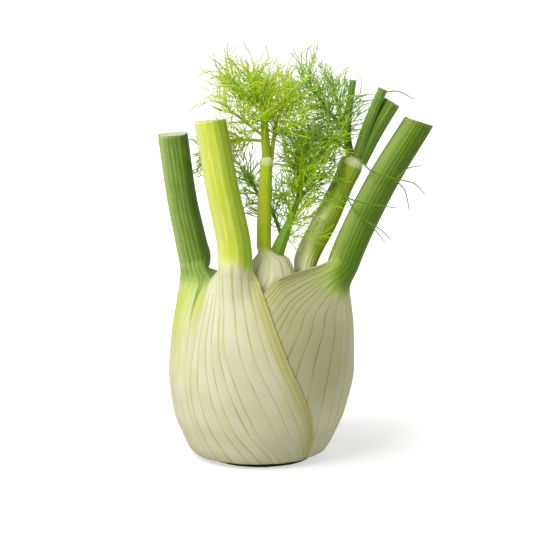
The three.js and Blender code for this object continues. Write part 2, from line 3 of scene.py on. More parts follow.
import math
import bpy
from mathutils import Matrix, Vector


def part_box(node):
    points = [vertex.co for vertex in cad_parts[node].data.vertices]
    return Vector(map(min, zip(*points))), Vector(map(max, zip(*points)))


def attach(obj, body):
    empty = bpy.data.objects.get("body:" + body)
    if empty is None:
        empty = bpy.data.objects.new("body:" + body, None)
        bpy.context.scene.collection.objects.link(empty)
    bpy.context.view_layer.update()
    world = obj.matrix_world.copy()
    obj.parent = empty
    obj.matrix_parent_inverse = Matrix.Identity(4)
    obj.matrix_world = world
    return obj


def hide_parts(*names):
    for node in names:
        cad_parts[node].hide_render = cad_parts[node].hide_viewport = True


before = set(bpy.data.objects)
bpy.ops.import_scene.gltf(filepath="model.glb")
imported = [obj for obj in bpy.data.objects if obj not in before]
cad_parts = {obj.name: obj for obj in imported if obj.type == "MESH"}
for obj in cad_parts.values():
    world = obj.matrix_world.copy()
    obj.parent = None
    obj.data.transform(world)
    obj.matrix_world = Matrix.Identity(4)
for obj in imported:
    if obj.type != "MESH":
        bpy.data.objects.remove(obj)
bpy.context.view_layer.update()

from types import SimpleNamespace

import bpy
import numpy as np
from bpy.props import FloatProperty, FloatVectorProperty, IntProperty, PointerProperty
from mathutils import Vector

bl_info = {
    "name": "Fennel bulb",
    "version": (1, 0, 0),
    "blender": (4, 5, 0),
    "location": "3D View > Sidebar > Fennel",
    "description": "Builds the leaves, stalks and fronds of a fennel bulb round its solid parts",
    "category": "Object",
}

BODY = "root"
MM = 0.001  # the tables of shapes below are in millimetres, and every mesh is in metres


def through(*knots):
    """A smooth curve through (x, y) knots that never overshoots them."""
    x, y = np.array(knots, float).T
    slope = np.diff(y) / np.diff(x)
    product = slope[:-1] * slope[1:]
    total = np.where(product > 0, slope[:-1] + slope[1:], 1)
    inner = np.where(product > 0, 2 * product / total, 0)
    tangent = np.concatenate([slope[:1], inner, slope[-1:]])

    def value(at):
        i = np.clip(np.searchsorted(x, at, side="right") - 1, 0, len(x) - 2)
        step = x[i + 1] - x[i]
        t = np.clip((at - x[i]) / step, 0, 1)
        rise = (3 - 2 * t) * t * t
        bend = t * (1 - t) * step
        level = y[i] * (1 - rise) + y[i + 1] * rise
        return level + bend * (tangent[i] * (1 - t) - tangent[i + 1] * t)

    return value


def always(value):
    """The same value at every height."""
    return lambda at: value + 0 * at


def smoothstep(at, low, high):
    t = np.clip((at - low) / (high - low), 0, 1)
    return t * t * (3 - 2 * t)


def lerp(a, b, share):
    return a + (b - a) * share


def unit(vectors):
    return vectors / np.linalg.norm(vectors, axis=-1, keepdims=True)


def colour(code):
    """A linear colour from a 0xRRGGBB code."""
    parts = [(code >> shift & 255) / 255 for shift in (16, 8, 0)]
    return tuple(c / 12.92 if c <= 0.04045 else ((c + 0.055) / 1.055) ** 2.4 for c in parts)


def opaque(rgb):
    return (*rgb, 1)


# Shape of the bulb, by height: its half axes as shares of the largest, and its sideways lean
BULB_WIDTH = 97
BULB_DEPTH = 77
HALF_WIDTH = through(
    (0, 0.58), (4, 0.72), (13, 0.83), (26, 0.933), (48, 1), (66, 0.985), (84, 0.94), (98, 0.895)
)
HALF_DEPTH = through(
    (0, 0.64), (4, 0.77), (13, 0.87), (26, 0.955), (48, 1), (66, 0.96), (84, 0.83), (98, 0.66)
)
LEAN = through((0, -1.4), (48, 0.7), (98, 2.8))
CORE_DEPTH = through((0, 13.5), (55, 13.5), (84, 10), (104, 9))  # of the outer leaves
CORE_GAP = 1.6  # from the outer leaves to the inner ones

# The ellipses that the innermost leaf base follows
CENTRE_X = through((13, -2.5), (45, -4), (72, -4), (88, 0), (99, 5.6), (110, 6))
CENTRE_Y = through((13, 0), (60, 0), (96, -7), (110, -6))
CENTRE_WIDTH = through((13, 19), (40, 27), (60, 27), (75, 25), (88, 19), (97, 14), (105, 10), (113, 5.5))
CENTRE_DEPTH = through(
    (13, 13.5), (40, 17.5), (60, 17.5), (75, 16.5), (88, 15.5), (97, 13.6), (105, 10.5), (113, 6.5)
)

# How leaves lie on each other: a covered leaf is pressed in, and rises again past the cover's margin
LEAF_GAP = 0.1
TUCK = 0.8  # degrees past the margin before it rises
RISE = 9  # degrees over which it rises

# A stalk's section: most of it is the ribbed outer face, and the rest is a shallow channel
OUTER_FACE = 125
CHANNEL_FACE = 43
CHANNEL_DEPTH = 0.16

# How finely leaves are divided
FACE_PLACES = 120  # places across a leaf's face, about
LEAST_PLACES = 6  # of each vein's strip
MARGIN_PLACES = (0, 0.0012, 0.003, 0.006, 0.01)  # shares of the leaf's width, where its edge is rounded
UNEVEN_VEINS = ((5, 0.2, 1), (9, 0.16, 2.2))  # waves across the leaf, amount and phase
FOOT_BAND = 10
FOOT_STEP = 0.7
RING_STEP = 1.3
NECK_STEP = 0.35
NECK_BAND = 14  # below the height where a base has turned into its stalk
CUT_RINGS = (0.985, 0.93, 0.8, 0.6, 0.4, 0.2)  # of a stalk's end, as shares of its section
CUT_DISH = 0.5  # how far the middle of a cut sinks


def bulb_shell(height):
    return SimpleNamespace(
        x=LEAN(height),
        y=0 * height,
        half_width=BULB_WIDTH / 2 * HALF_WIDTH(height),
        half_depth=BULB_DEPTH / 2 * HALF_DEPTH(height),
    )


def inner_shell(height):
    shell = bulb_shell(height)
    inset = CORE_DEPTH(height) + CORE_GAP
    shell.half_width = shell.half_width - inset
    shell.half_depth = shell.half_depth - inset
    return shell


def centre_shell(height):
    return SimpleNamespace(
        x=CENTRE_X(height),
        y=CENTRE_Y(height),
        half_width=CENTRE_WIDTH(height),
        half_depth=CENTRE_DEPTH(height),
    )


def leaf_shape(**given):
    """A leaf's values, with the usual ones for those that aren't given."""
    usual = dict(
        crowding=(0.3, 0.3),
        drift=always(0),
        dull=0,
        tongue=0,
        channel=0,
        covered_by=(),
        margin_lag=0,
        streaks=(),
        wash=(),
    )
    return SimpleNamespace(**(usual | given))


# Each leaf: its margins as (height, angle) and its stalk's middle line as (height, x) and (height, y).
# Angles are in degrees: 0 is the front, 90 the right side, 180 the back. Between the heights of blend the
# base narrows into the stalk, with the margins late by margin_lag of that stretch. Veins lie closer near the
# two margins by their crowding, and drift moves them aside by height. Green comes in over the heights of
# fade, earlier where a streak (share across, width, reach) runs down, and a wash (share across, width, low,
# high) of yellow-green comes in below it. rim weighs the tint along the two margins, dull says how
# far the flesh high on the base is darkened, partly as a greyer tone and partly as painted shade, and channel
# and tongue how pale a stalk's channel and its left side are. end says whether the stalk ends in a cut or in
# a joint with a pale collar. stalk has its colours from pale to full, rib is the colour of its ribs, and deep
# that of its right side, partly a deeper green and partly painted shade.
LEAVES = {
    "leaf_front": leaf_shape(
        shell=bulb_shell,
        veins=11,
        crowding=(-0.1, 0.5),
        drift=through((0, 0.25), (8, 0.17), (20, 0.06), (44, 0), (68, -0.08), (95, -0.1)),
        ribs=15,
        foot=2.9,
        thickness=through((0, 7.5), (60, 7.5), (88, 5.5)),
        low=through((0, -40), (13, -46), (39, -52), (64, -49), (88, -44), (108, -36)),
        high=through((0, 48), (13, 43), (25, 37), (39, 28), (53, 19), (71, 9.5), (86, 2), (108, -10)),
        blend=(80, 110),
        margin_lag=0.55,
        line_x=through((86, -14.6), (108, -12.6), (145, -19), (178.5, -25.1)),
        line_y=through((80, -26), (92, -25), (100, -22.4), (108, -20.6), (145, -18.4), (178.5, -15)),
        top=178.5,
        width=through((80, 26), (108, 17.8), (178.5, 15.9)),
        depth=through((80, 17), (95, 16.8), (108, 14.5), (178.5, 13.6)),
        fade=(101, 115),
        streaks=((0.8, 0.3, 3),),
        rim=(0.1, 1),
        end="cut",
        stalk=(0xE8EDA0, 0xDAE650, 0xD0E034),
        rib=0xEAF088,
        deep=0x96BA00,
    ),
    "leaf_left": leaf_shape(
        shell=bulb_shell,
        veins=16,
        crowding=(0.3, 0.1),
        ribs=15,
        foot=2.6,
        thickness=CORE_DEPTH,
        covered_by=("leaf_front",),
        low=through((0, -200), (48, -206), (70, -200), (82, -184), (92, -156), (100, -128), (106, -116)),
        high=through((0, -28), (48, -38), (75, -38), (97, -37), (102, -48), (107, -78)),
        blend=(86, 107),
        margin_lag=0.5,
        line_x=through((82, -35), (102, -32.8), (112, -34.8), (137, -39.8), (170, -44.1)),
        line_y=through((82, 2), (102, 3), (115, 3), (137, 2), (170, 0.5)),
        top=170,
        width=through((82, 24), (96, 21.5), (102, 19), (112, 17.4), (137, 16.2), (170, 15.4)),
        depth=through((82, 13), (102, 18.2), (112, 17.3), (137, 16.2), (170, 16.2)),
        fade=(86, 101),
        streaks=((0.895, 0.011, 15),),
        wash=((0.74, 0.15, 28, 90), (0.93, 0.05, 60, 92)),
        rim=(0.2, 0),
        end="cut",
        stalk=(0xC8D88A, 0x86A93A, 0x628C36),
        rib=0xB2C24A,
        deep=0x50791A,
    ),
    "leaf_right": leaf_shape(
        shell=bulb_shell,
        veins=30,
        crowding=(0.45, 0.45),
        dull=0.8,
        ribs=18,
        channel=1,
        foot=3.9,
        thickness=CORE_DEPTH,
        covered_by=("leaf_front", "leaf_left"),
        low=through(
            (0, -40), (40, -46), (54, -42), (66, -33), (78, -20),
            (88, -6), (97, 6), (101, 15), (103, 36), (106, 66),
        ),
        high=through((0, 180), (48, 188), (70, 180), (82, 160), (92, 136), (100, 118), (106, 110)),
        blend=(74, 104),
        margin_lag=0.85,
        line_x=through((74, 37.5), (90, 38.8), (102, 42.4), (115, 47.6), (145, 63), (175.5, 82)),
        line_y=through((74, 0), (90, 0), (102, 1.5), (115, 3), (145, 9), (175.5, 13)),
        top=175.5,
        width=through((74, 24), (98, 18.2), (175.5, 16.6)),
        depth=through((74, 16), (90, 17.8), (130, 17.6), (175.5, 16.4)),
        fade=(92, 104),
        streaks=((0.42, 0.2, 9), (0, 0.12, -6)),
        rim=(0.9, 0),
        end="cut",
        stalk=(0xC6D676, 0x7CA61C, 0x5E8A0C),
        rib=0x86AC2C,
        deep=0x588008,
    ),
    "leaf_inner_right": leaf_shape(
        shell=inner_shell,
        veins=8,
        tongue=1,
        ribs=11,
        foot=13,
        thickness=always(6.2),
        low=through((13, -20), (50, -20), (66, 0), (78, 24), (88, 38), (96, 44), (104, 52)),
        high=through((13, 196), (50, 200), (72, 186), (86, 160), (96, 138), (104, 128)),
        blend=(78, 104),
        line_x=through((76, 20), (99, 22.6), (128, 35.6), (150, 45.6), (157, 48.6)),
        line_y=through((76, 3), (99, 4.4), (128, 5), (150, 6), (157, 6)),
        top=157,
        width=through((76, 20), (99, 17.4), (112, 16.6), (125, 16), (146, 14), (152, 14.8), (157, 12.4)),
        depth=through((76, 8), (99, 10.4), (125, 11.4), (146, 10.4), (152, 11.4), (157, 9.4)),
        fade=(98, 118),
        streaks=((0.5, 0.3, 8),),
        rim=(0.5, 0.3),
        end="joint",
        stalk=(0xF2F4B4, 0xA8BC10, 0x98B402),
        rib=0xB0C424,
        deep=0x8CAA04,
    ),
    "leaf_centre": leaf_shape(
        shell=centre_shell,
        veins=10,
        ribs=11,
        foot=13,
        thickness=always(5.4),
        low=through((13, -186), (80, -186), (96, -170), (106, -150), (113, -120)),
        high=through((13, 136), (80, 136), (96, 126), (106, 112), (110, 95), (113, 60)),
        blend=(106, 113),
        line_x=through((100, 3), (112, 2.2), (135, 2.6), (155, 3.5), (158, 3.6)),
        line_y=through((100, -8.5), (112, -7), (135, -5.5), (155, -5), (158, -5)),
        top=158,
        width=through((100, 9.8), (112, 8.8), (135, 8.2), (153, 7.2), (156, 7.7), (158, 6.6)),
        depth=through((100, 6), (112, 7.2), (135, 7), (153, 6.2), (156, 6.6), (158, 5.6)),
        fade=(109, 114),
        rim=(0, 0),
        end="joint",
        stalk=(0xE6EA9A, 0xCEDC1C, 0xC4D808),
        rib=0xD4E02C,
        deep=0xA0BE00,
    ),
}


def stem_shape(points, radii, cut=False, row=None):
    """A stem of a frond, bare and with a closed tip unless said otherwise."""
    return SimpleNamespace(points=points, radii=radii, cut=cut, row=row)


# Each frond: its seed, its colours from light to dark, and its stems, each given by (x, y, z) points, a
# radius for each of them, whether it ends in a cut, and its row of pinnae from one share of it to another.
FRONDS = {
    "frond_centre": SimpleNamespace(
        seed=12,
        skin=(0xB9CC2A, 0x8FB21C),
        threads=(0xE2FA40, 0xBCE010),
        stems=(
            stem_shape(
                ((3.6, -5, 157), (2.5, -5.3, 171), (2.1, -5.6, 180), (-0.7, -6, 189), (-3.5, -6.5, 197)),
                (2.4, 2.1, 1.7, 1, 0.5),
                row=dict(start=0.35, end=0.97, length=15, spread=72, lift=0.1),
            ),
            stem_shape(
                ((5.6, -4.4, 157), (8.4, -3.6, 176), (14, -2, 189)),
                (1.3, 0.9, 0.4),
                row=dict(start=0.35, end=0.97, length=15, spread=68, lift=0.1),
            ),
            stem_shape(
                ((2.5, -5.3, 169), (-8, -4, 177), (-17, -3.5, 184)),
                (0.8, 0.6, 0.4),
                row=dict(start=0.2, end=0.97, length=11, spread=66, lift=0.05),
            ),
            stem_shape(
                ((1.4, -5.7, 182), (-7, -9, 190), (-14, -10, 199)),
                (0.8, 0.6, 0.4),
                row=dict(start=0.25, end=0.97, length=10, spread=66, lift=0.05),
            ),
            stem_shape(
                ((2.4, -5.4, 174), (4, 6, 183), (4, 15, 189)),
                (0.8, 0.6, 0.4),
                row=dict(start=0.25, end=0.97, length=11, spread=66, lift=0.05),
            ),
            stem_shape(
                ((2.6, -5.2, 167), (-9, 3, 167), (-22, 4, 162), (-31, 3, 154)),
                (0.8, 0.75, 0.7, 0.65),
                row=dict(start=0.2, end=0.97, length=10, spread=50, lift=-0.1),
            ),
        ),
    ),
    "frond_right": SimpleNamespace(
        seed=23,
        skin=(0x86AC34, 0x5E8C22),
        threads=(0xC8EE66, 0x8CC22E),
        stems=(
            stem_shape(
                ((51, 6.4, 155.4), (59, 6.4, 171), (68, 6, 186)), (4.3, 4.3, 4.2), cut=True
            ),
            stem_shape(
                ((49.6, 4, 156), (54.5, 3, 172), (63, 2.5, 193)), (2.6, 2.5, 2.3), cut=True
            ),
            stem_shape(
                ((47, 8.5, 157), (45, 9.5, 170), (48, 10, 197)), (2.1, 1.9, 1.6), cut=True
            ),
            stem_shape(
                ((45.6, 9.2, 165), (38, 9, 178), (29, 8.5, 190), (25, 8, 197)),
                (1.3, 1, 0.7, 0.4),
                row=dict(start=0.15, end=0.97, length=14, spread=80, lift=0.05),
            ),
            stem_shape(
                ((45.2, 9.4, 170), (41, 11, 182), (38, 13, 193)),
                (1.3, 0.9, 0.4),
                row=dict(start=0.25, end=0.97, length=12, spread=76, lift=0.05),
            ),
            stem_shape(
                ((46, 7.4, 161), (37, 4, 166), (28, 2, 168)),
                (0.8, 0.6, 0.4),
                row=dict(start=0.3, end=0.97, length=11, spread=66, lift=0),
            ),
            stem_shape(
                ((50, 1, 158), (58, -4, 151), (68.6, -5, 147.8), (79, -3, 145), (85.3, 0, 138.8)),
                (0.5, 0.42, 0.36, 0.3, 0.2),
            ),
            stem_shape(((68, -5, 148), (74.4, -4, 141.5), (77, -3, 130.9)), (0.34, 0.3, 0.2)),
            stem_shape(((70, -5, 147.4), (76, -4, 153), (82.7, -2, 154.1)), (0.34, 0.28, 0.2)),
            stem_shape(
                (
                    (42.1, -1, 157.3), (39.5, -5, 147.8), (44.7, -7, 138.3),
                    (58.2, -8, 134.6), (69.7, -8, 133),
                ),
                (0.5, 0.46, 0.42, 0.34, 0.2),
            ),
            stem_shape(
                ((43, -6.6, 140), (52, -8, 128.3), (62.4, -8, 121.4), (67.6, -7, 116.1)),
                (0.42, 0.38, 0.32, 0.2),
            ),
            stem_shape(((47.8, -7.6, 132), (56.2, -8, 124.6), (64.5, -7, 115)), (0.36, 0.3, 0.2)),
            stem_shape(((62.5, 1.5, 191), (69, 1, 192), (79, 1, 188)), (0.34, 0.28, 0.18)),
        ),
    ),
    "frond_inner": SimpleNamespace(
        seed=37,
        skin=(0x8CB41A, 0x689408),
        threads=(0xD2F228, 0xA0D208),
        stems=(
            stem_shape(
                (
                    (0, 0, 13), (0, 0, 60), (6, -5, 96), (9, -7.5, 110),
                    (13.5, -5, 121), (19, 1, 135), (23, 5, 156),
                ),
                (3.2, 3.4, 4, 4.5, 3.4, 1.3, 0.5),
                row=dict(start=0.73, end=0.99, length=14, spread=72, lift=0.15),
            ),
            stem_shape(
                ((17, 1, 131), (24, 2, 140), (32, 1, 147)),
                (0.8, 0.6, 0.4),
                row=dict(start=0.25, end=0.97, length=10, spread=62, lift=0.05),
            ),
            stem_shape(
                ((19, 2, 135), (24, 3, 148), (32, 2, 160), (37, 1, 167)),
                (0.9, 0.7, 0.5, 0.4),
                row=dict(start=0.25, end=0.97, length=11, spread=66, lift=0.05),
            ),
            stem_shape(
                ((20.5, 3, 143), (18.5, 1, 155), (20, 0, 170)),
                (0.8, 0.6, 0.4),
                row=dict(start=0.3, end=0.97, length=10, spread=66, lift=0.05),
            ),
            stem_shape(
                ((11, -1.2, 118), (6, 5, 130), (-2, 8, 140), (-6, 8, 147)),
                (1, 0.9, 0.8, 0.7),
                row=dict(start=0.3, end=0.97, length=10, spread=60, lift=0.1),
            ),
        ),
    ),
}


def length_setting(name, description, millimetres):
    return FloatProperty(name=name, description=description, default=millimetres * MM, unit="LENGTH")


def colour_setting(name, description, code):
    return FloatVectorProperty(name=name, description=description, default=colour(code), subtype="COLOR")


class LeafSettings(bpy.types.PropertyGroup):
    margin: length_setting("Margin", "Thickness of a leaf base at its margins", 0.32)
    groove: length_setting("Groove", "Depth of the line along each vein of a base", 0.05)
    flute: length_setting("Flute", "How far a base swells between two veins", 0.07)
    rib: length_setting("Rib", "Height of the ribs along a stalk", 0.22)
    unevenness: length_setting("Unevenness", "Height of the slow swells of a base", 0.35)
    flesh: colour_setting("Flesh", "Colour of the fleshy bases", 0xE4E2B8)
    white: colour_setting("White", "Colour of the whiter strips between veins", 0xF0EED8)
    shade: colour_setting("Shade", "Colour of their greener patches", 0xDCDAA6)
    vein: colour_setting("Vein", "Colour of the veins", 0xC3C262)
    rim: colour_setting("Rim", "Colour of the thin margins", 0xC6C478)
    wash: colour_setting("Wash", "Colour of the yellow-green wash", 0xCAD944)
    # This darker colour high on the right is partly the flesh's greyer tone and partly painted shade
    dull: colour_setting("Dull", "Colour of the duller flesh high on the right", 0xBAB984)
    cut: colour_setting("Cut", "Colour of the cut stalk ends", 0xEAEEC2)


class FrondSettings(bpy.types.PropertyGroup):
    pinna_step: length_setting("Pinna step", "Distance between pinnae along a stem", 1.6)
    pinna_radius: length_setting("Pinna radius", "Radius at the foot of a pinna", 0.36)
    thread_step: length_setting("Thread step", "Distance between threads along a pinna", 1.9)
    thread_length: length_setting("Thread length", "Length of a thread at a pinna's foot", 12.5)
    thread_radius: length_setting("Thread radius", "Radius at the foot of a thread", 0.29)
    fork_step: length_setting("Fork step", "Distance between forks along a thread", 4.2)
    fork_length: length_setting("Fork length", "Length of a fork", 6)
    clearance: length_setting("Clearance", "Least distance from a thread to a leaf", 0.4)
    curl: FloatProperty(
        name="Curl", description="How far a thread bends aside, as a share of its length", default=0.42,
        subtype="FACTOR",
    )
    seed: IntProperty(name="Seed", description="Draws the threads' directions", default=5, min=0)


class CrownSettings(bpy.types.PropertyGroup):
    edge: length_setting("Edge", "Thickness of the cut disc under the leaves", 2.8)
    raggedness: length_setting("Raggedness", "How far its rim goes in and out", 0.5)
    cut: colour_setting("Cut", "Colour of the cut face", 0xC9B98C)
    browned: colour_setting("Browned", "Colour of the dried rim", 0x3A2A12)


class StageSettings(bpy.types.PropertyGroup):
    floor: FloatVectorProperty(
        name="Floor", description="Colour of the floor", default=(0.5, 0.5, 0.5), subtype="COLOR"
    )
    key: FloatProperty(name="Key", description="Power of the main light", default=31, unit="POWER")
    fill: FloatProperty(name="Fill", description="Power of each light from the side", default=5, unit="POWER")
    ambient: FloatProperty(name="Ambient", description="Strength of the light from all round", default=0.3)
    camera_distance: FloatProperty(
        name="Camera distance", description="From the camera to the bulb", default=0.923, unit="LENGTH"
    )
    camera_elevation: FloatProperty(
        name="Camera elevation", description="Angle of the camera above the floor", default=math.radians(10),
        subtype="ANGLE",
    )
    lens: FloatProperty(name="Lens", description="Focal length", default=120, unit="CAMERA")


class FennelSettings(bpy.types.PropertyGroup):
    leaves: PointerProperty(type=LeafSettings)
    fronds: PointerProperty(type=FrondSettings)
    crown: PointerProperty(type=CrownSettings)
    stage: PointerProperty(type=StageSettings)


def live(sockets):
    """The sockets that a node's settings leave in use."""
    return [socket for socket in sockets if socket.enabled and not socket.is_unavailable]


class Nodes:
    """A node tree under construction."""

    def __init__(self, tree):
        self.tree = tree

    def add(self, kind, *values, **settings):
        """Adds a node with these settings, and feeds its first sockets with these values."""
        node = self.tree.nodes.new(kind)
        for key, value in settings.items():
            setattr(node, key, value)
        for socket, value in zip(live(node.inputs), values):
            self.feed(socket, value)
        return node

    def feed(self, socket, value):
        """Links a socket to another one, or sets it to a value. None leaves it as it is."""
        if isinstance(value, bpy.types.NodeSocket):
            self.tree.links.new(value, socket)
        elif value is not None:
            socket.default_value = value

    def out(self, kind, *values, **settings):
        """Adds a node and returns its first live output."""
        return live(self.add(kind, *values, **settings).outputs)[0]

    def math(self, operation, *values):
        return self.out("ShaderNodeMath", *values, operation=operation)

    def vector_math(self, operation, *values):
        return self.out("ShaderNodeVectorMath", *values, operation=operation)

    def vector(self, *values):
        return self.out("ShaderNodeCombineXYZ", *values)

    def map_range(self, value, low, high, to_low=0.0, to_high=1.0):
        kind = "ShaderNodeMapRange"
        return self.out(kind, value, low, high, to_low, to_high, interpolation_type="SMOOTHSTEP")

    def mix(self, share, first, second):
        """Mixes two colours."""
        node = self.add("ShaderNodeMix", data_type="RGBA")
        sockets = [s for s in node.inputs if s.type == "RGBA"]
        self.feed(node.inputs[0], share)
        self.feed(sockets[0], first)
        self.feed(sockets[1], second)
        return next(s for s in node.outputs if s.type == "RGBA")

    def tint(self, base, mask, strength, over):
        """Lays a colour over a base where a mask is, with this strength."""
        return self.mix(self.math("MULTIPLY", mask, strength), base, over)

    def attribute(self, name):
        node = self.add("ShaderNodeAttribute", attribute_name=name)
        return node.outputs["Fac"]

    def place(self):
        return self.add("ShaderNodeTexCoord").outputs["Object"]

    def store(self, geometry, name, value):
        """Keeps a value at every point of a geometry, under a name."""
        node = self.add("GeometryNodeStoreNamedAttribute", data_type="FLOAT", domain="POINT")
        self.feed(node.inputs["Geometry"], geometry)
        node.inputs["Name"].default_value = name
        self.feed(node.inputs["Value"], value)
        return node.outputs[0]

    def named(self, name):
        """Reads a value that is kept at points."""
        node = self.add("GeometryNodeInputNamedAttribute", data_type="FLOAT")
        node.inputs["Name"].default_value = name
        return node.outputs[0]

    def group(self, tree, **values):
        """Places a node group. Its inputs are named by words, with _ for a space."""
        kind = "GeometryNodeGroup" if self.tree.bl_idname == "GeometryNodeTree" else "ShaderNodeGroup"
        node = self.tree.nodes.new(kind)
        node.node_tree = tree
        for key, value in values.items():
            self.feed(node.inputs[key.replace("_", " ").capitalize()], value)
        return node


def new_group(name, kind, inputs, outputs):
    """An empty node group, with its inputs and outputs given as (name, type) pairs."""
    tree = bpy.data.node_groups.new(name, kind)
    for way, sockets in (("INPUT", inputs), ("OUTPUT", outputs)):
        for label, socket in sockets:
            tree.interface.new_socket(label, in_out=way, socket_type="NodeSocket" + socket)
    nodes = Nodes(tree)
    return nodes, nodes.add("NodeGroupInput").outputs, nodes.add("NodeGroupOutput").inputs


def new_material(name):
    """A material with an empty tree and its Principled shader."""
    material = bpy.data.materials.new(name)
    material.use_nodes = True
    material.node_tree.nodes.clear()
    nodes = Nodes(material.node_tree)
    shader = nodes.add("ShaderNodeBsdfPrincipled")
    output = nodes.add("ShaderNodeOutputMaterial")
    nodes.feed(output.inputs["Surface"], shader.outputs[0])
    return material, nodes, shader


def vein_lines_group():
    """A mask of thin lines along the veins, which come and go along their length."""
    nodes, given, result = new_group(
        "Vein lines",
        "ShaderNodeTree",
        [("Across", "Float"), ("Along", "Float"), ("Pitch", "Float"), ("Width", "Float")],
        [("Mask", "Float"), ("Strips", "Float")],
    )
    slow = nodes.math("MULTIPLY", given["Along"], 0.13)

    def strip_noise(strip, spacing, offset, slip, depth):
        """Noise that is each strip's own and changes slowly along it."""
        own = nodes.math("MULTIPLY_ADD", strip, spacing, offset)
        shifted = nodes.math("MULTIPLY_ADD", own, slip, slow)
        return nodes.out("ShaderNodeTexNoise", nodes.vector(own, shifted, depth), None, 1.0, 0.0)

    strips = strip_noise(nodes.math("ROUND", given["Across"]), 1.37, 0.43, 2.71, 0.37)
    nodes.feed(result["Strips"], nodes.map_range(strips, 0.3, 0.7))
    wander = strip_noise(nodes.math("FLOOR", given["Across"]), 1.63, 0.29, 3.19, 0.61)
    beside = nodes.math("ABSOLUTE", nodes.math("SUBTRACT", nodes.math("FRACT", given["Across"]), 0.5))
    distance = nodes.math("MULTIPLY", beside, given["Pitch"])
    width = nodes.math("MULTIPLY", given["Width"], nodes.math("MULTIPLY_ADD", wander, 0.8, 0.6))
    line = nodes.math("SUBTRACT", 1.0, nodes.map_range(distance, 0.0, width))
    strength = nodes.map_range(wander, 0.3, 0.65, 0.5, 1.0)
    nodes.feed(result["Mask"], nodes.math("MULTIPLY", line, strength))
    return nodes.tree


def fibres_group():
    """Fine streaks along a leaf or a stem."""
    nodes, given, result = new_group(
        "Fibres",
        "ShaderNodeTree",
        [("Across", "Float"), ("Along", "Float"), ("Closeness", "Float")],
        [("Streaks", "Float")],
    )
    across = nodes.math("MULTIPLY", given["Across"], given["Closeness"])
    place = nodes.vector(across, nodes.math("MULTIPLY", given["Along"], 0.3), 0.37)
    nodes.feed(result["Streaks"], nodes.out("ShaderNodeTexNoise", place, None, 1.0, 3.0, 0.6))
    return nodes.tree


GRAIN_FINENESS = 22.0  # how many times finer than the patches


def mottling_group():
    """Slow changes of tone over a surface, and a fine grain."""
    nodes, given, result = new_group(
        "Mottling",
        "ShaderNodeTree",
        [("Place", "Vector"), ("Size", "Float")],
        [("Patches", "Float"), ("Grain", "Float")],
    )
    scale = nodes.math("DIVIDE", 1.0, given["Size"])
    patches = nodes.out("ShaderNodeTexNoise", given["Place"], None, scale, 3.0)
    fine_scale = nodes.math("MULTIPLY", scale, GRAIN_FINENESS)
    grain = nodes.out("ShaderNodeTexNoise", given["Place"], None, fine_scale, 2.0)
    nodes.feed(result["Patches"], nodes.map_range(patches, 0.3, 0.7))
    nodes.feed(result["Grain"], grain)
    return nodes.tree


VEIN_WIDTH = 0.62  # millimetres to each side, like the pitch of the veins
RIB_WIDTH = 0.22  # as a share of the distance from rib to rib
PATCH_SIZE = 22 * MM
FIBRE_CLOSENESS = 4.0
STREAK_EDGE = 0.7  # how far the border of the green follows the fibres
DULL_SHADE_VEIN = 0.48  # how bright a vein is where the flesh is dulled, partly by painted shade
WASHED_VEIN = 0.6  # how much weaker a vein is in the wash
DEEP_SHADED_RIB = 0.75  # how much weaker a rib is on the darker side of a stalk, partly painted shade

# How strongly each tint covers a leaf's flesh or its stalk
TINTS = SimpleNamespace(
    shade=0.35,
    white=0.45,
    tucked=0.6,
    rim=0.9,
    wash=0.9,
    vein=0.88,
    deep=0.9,
    lit=0.65,
    rib=0.75,
    channel=0.45,
    patches=0.12,
    tongue=0.95,
)


def mottled(nodes, groups, size):
    """The patches of this size on a surface, and its grain."""
    mottling = nodes.group(groups.mottling, place=nodes.place(), size=size).outputs
    return mottling["Patches"], mottling["Grain"]


def finish_skin(nodes, shader, skin, grain, rough, relief=None, bump=None, inner=None):
    """Feeds a shader with a colour, a roughness as its rise with the grain and its least, a relief with the
    bump's strength and depth, and the weight and reach of the light inside."""
    nodes.feed(shader.inputs["Base Color"], skin)
    nodes.feed(shader.inputs["Roughness"], nodes.math("MULTIPLY_ADD", grain, *rough))
    if bump:
        bumpy = nodes.add("ShaderNodeBump", *bump)
        nodes.feed(bumpy.inputs["Height"], relief)
        nodes.feed(shader.inputs["Normal"], bumpy.outputs[0])
    if inner:
        shader.inputs["Subsurface Weight"].default_value = inner[0]
        shader.inputs["Subsurface Scale"].default_value = inner[1]


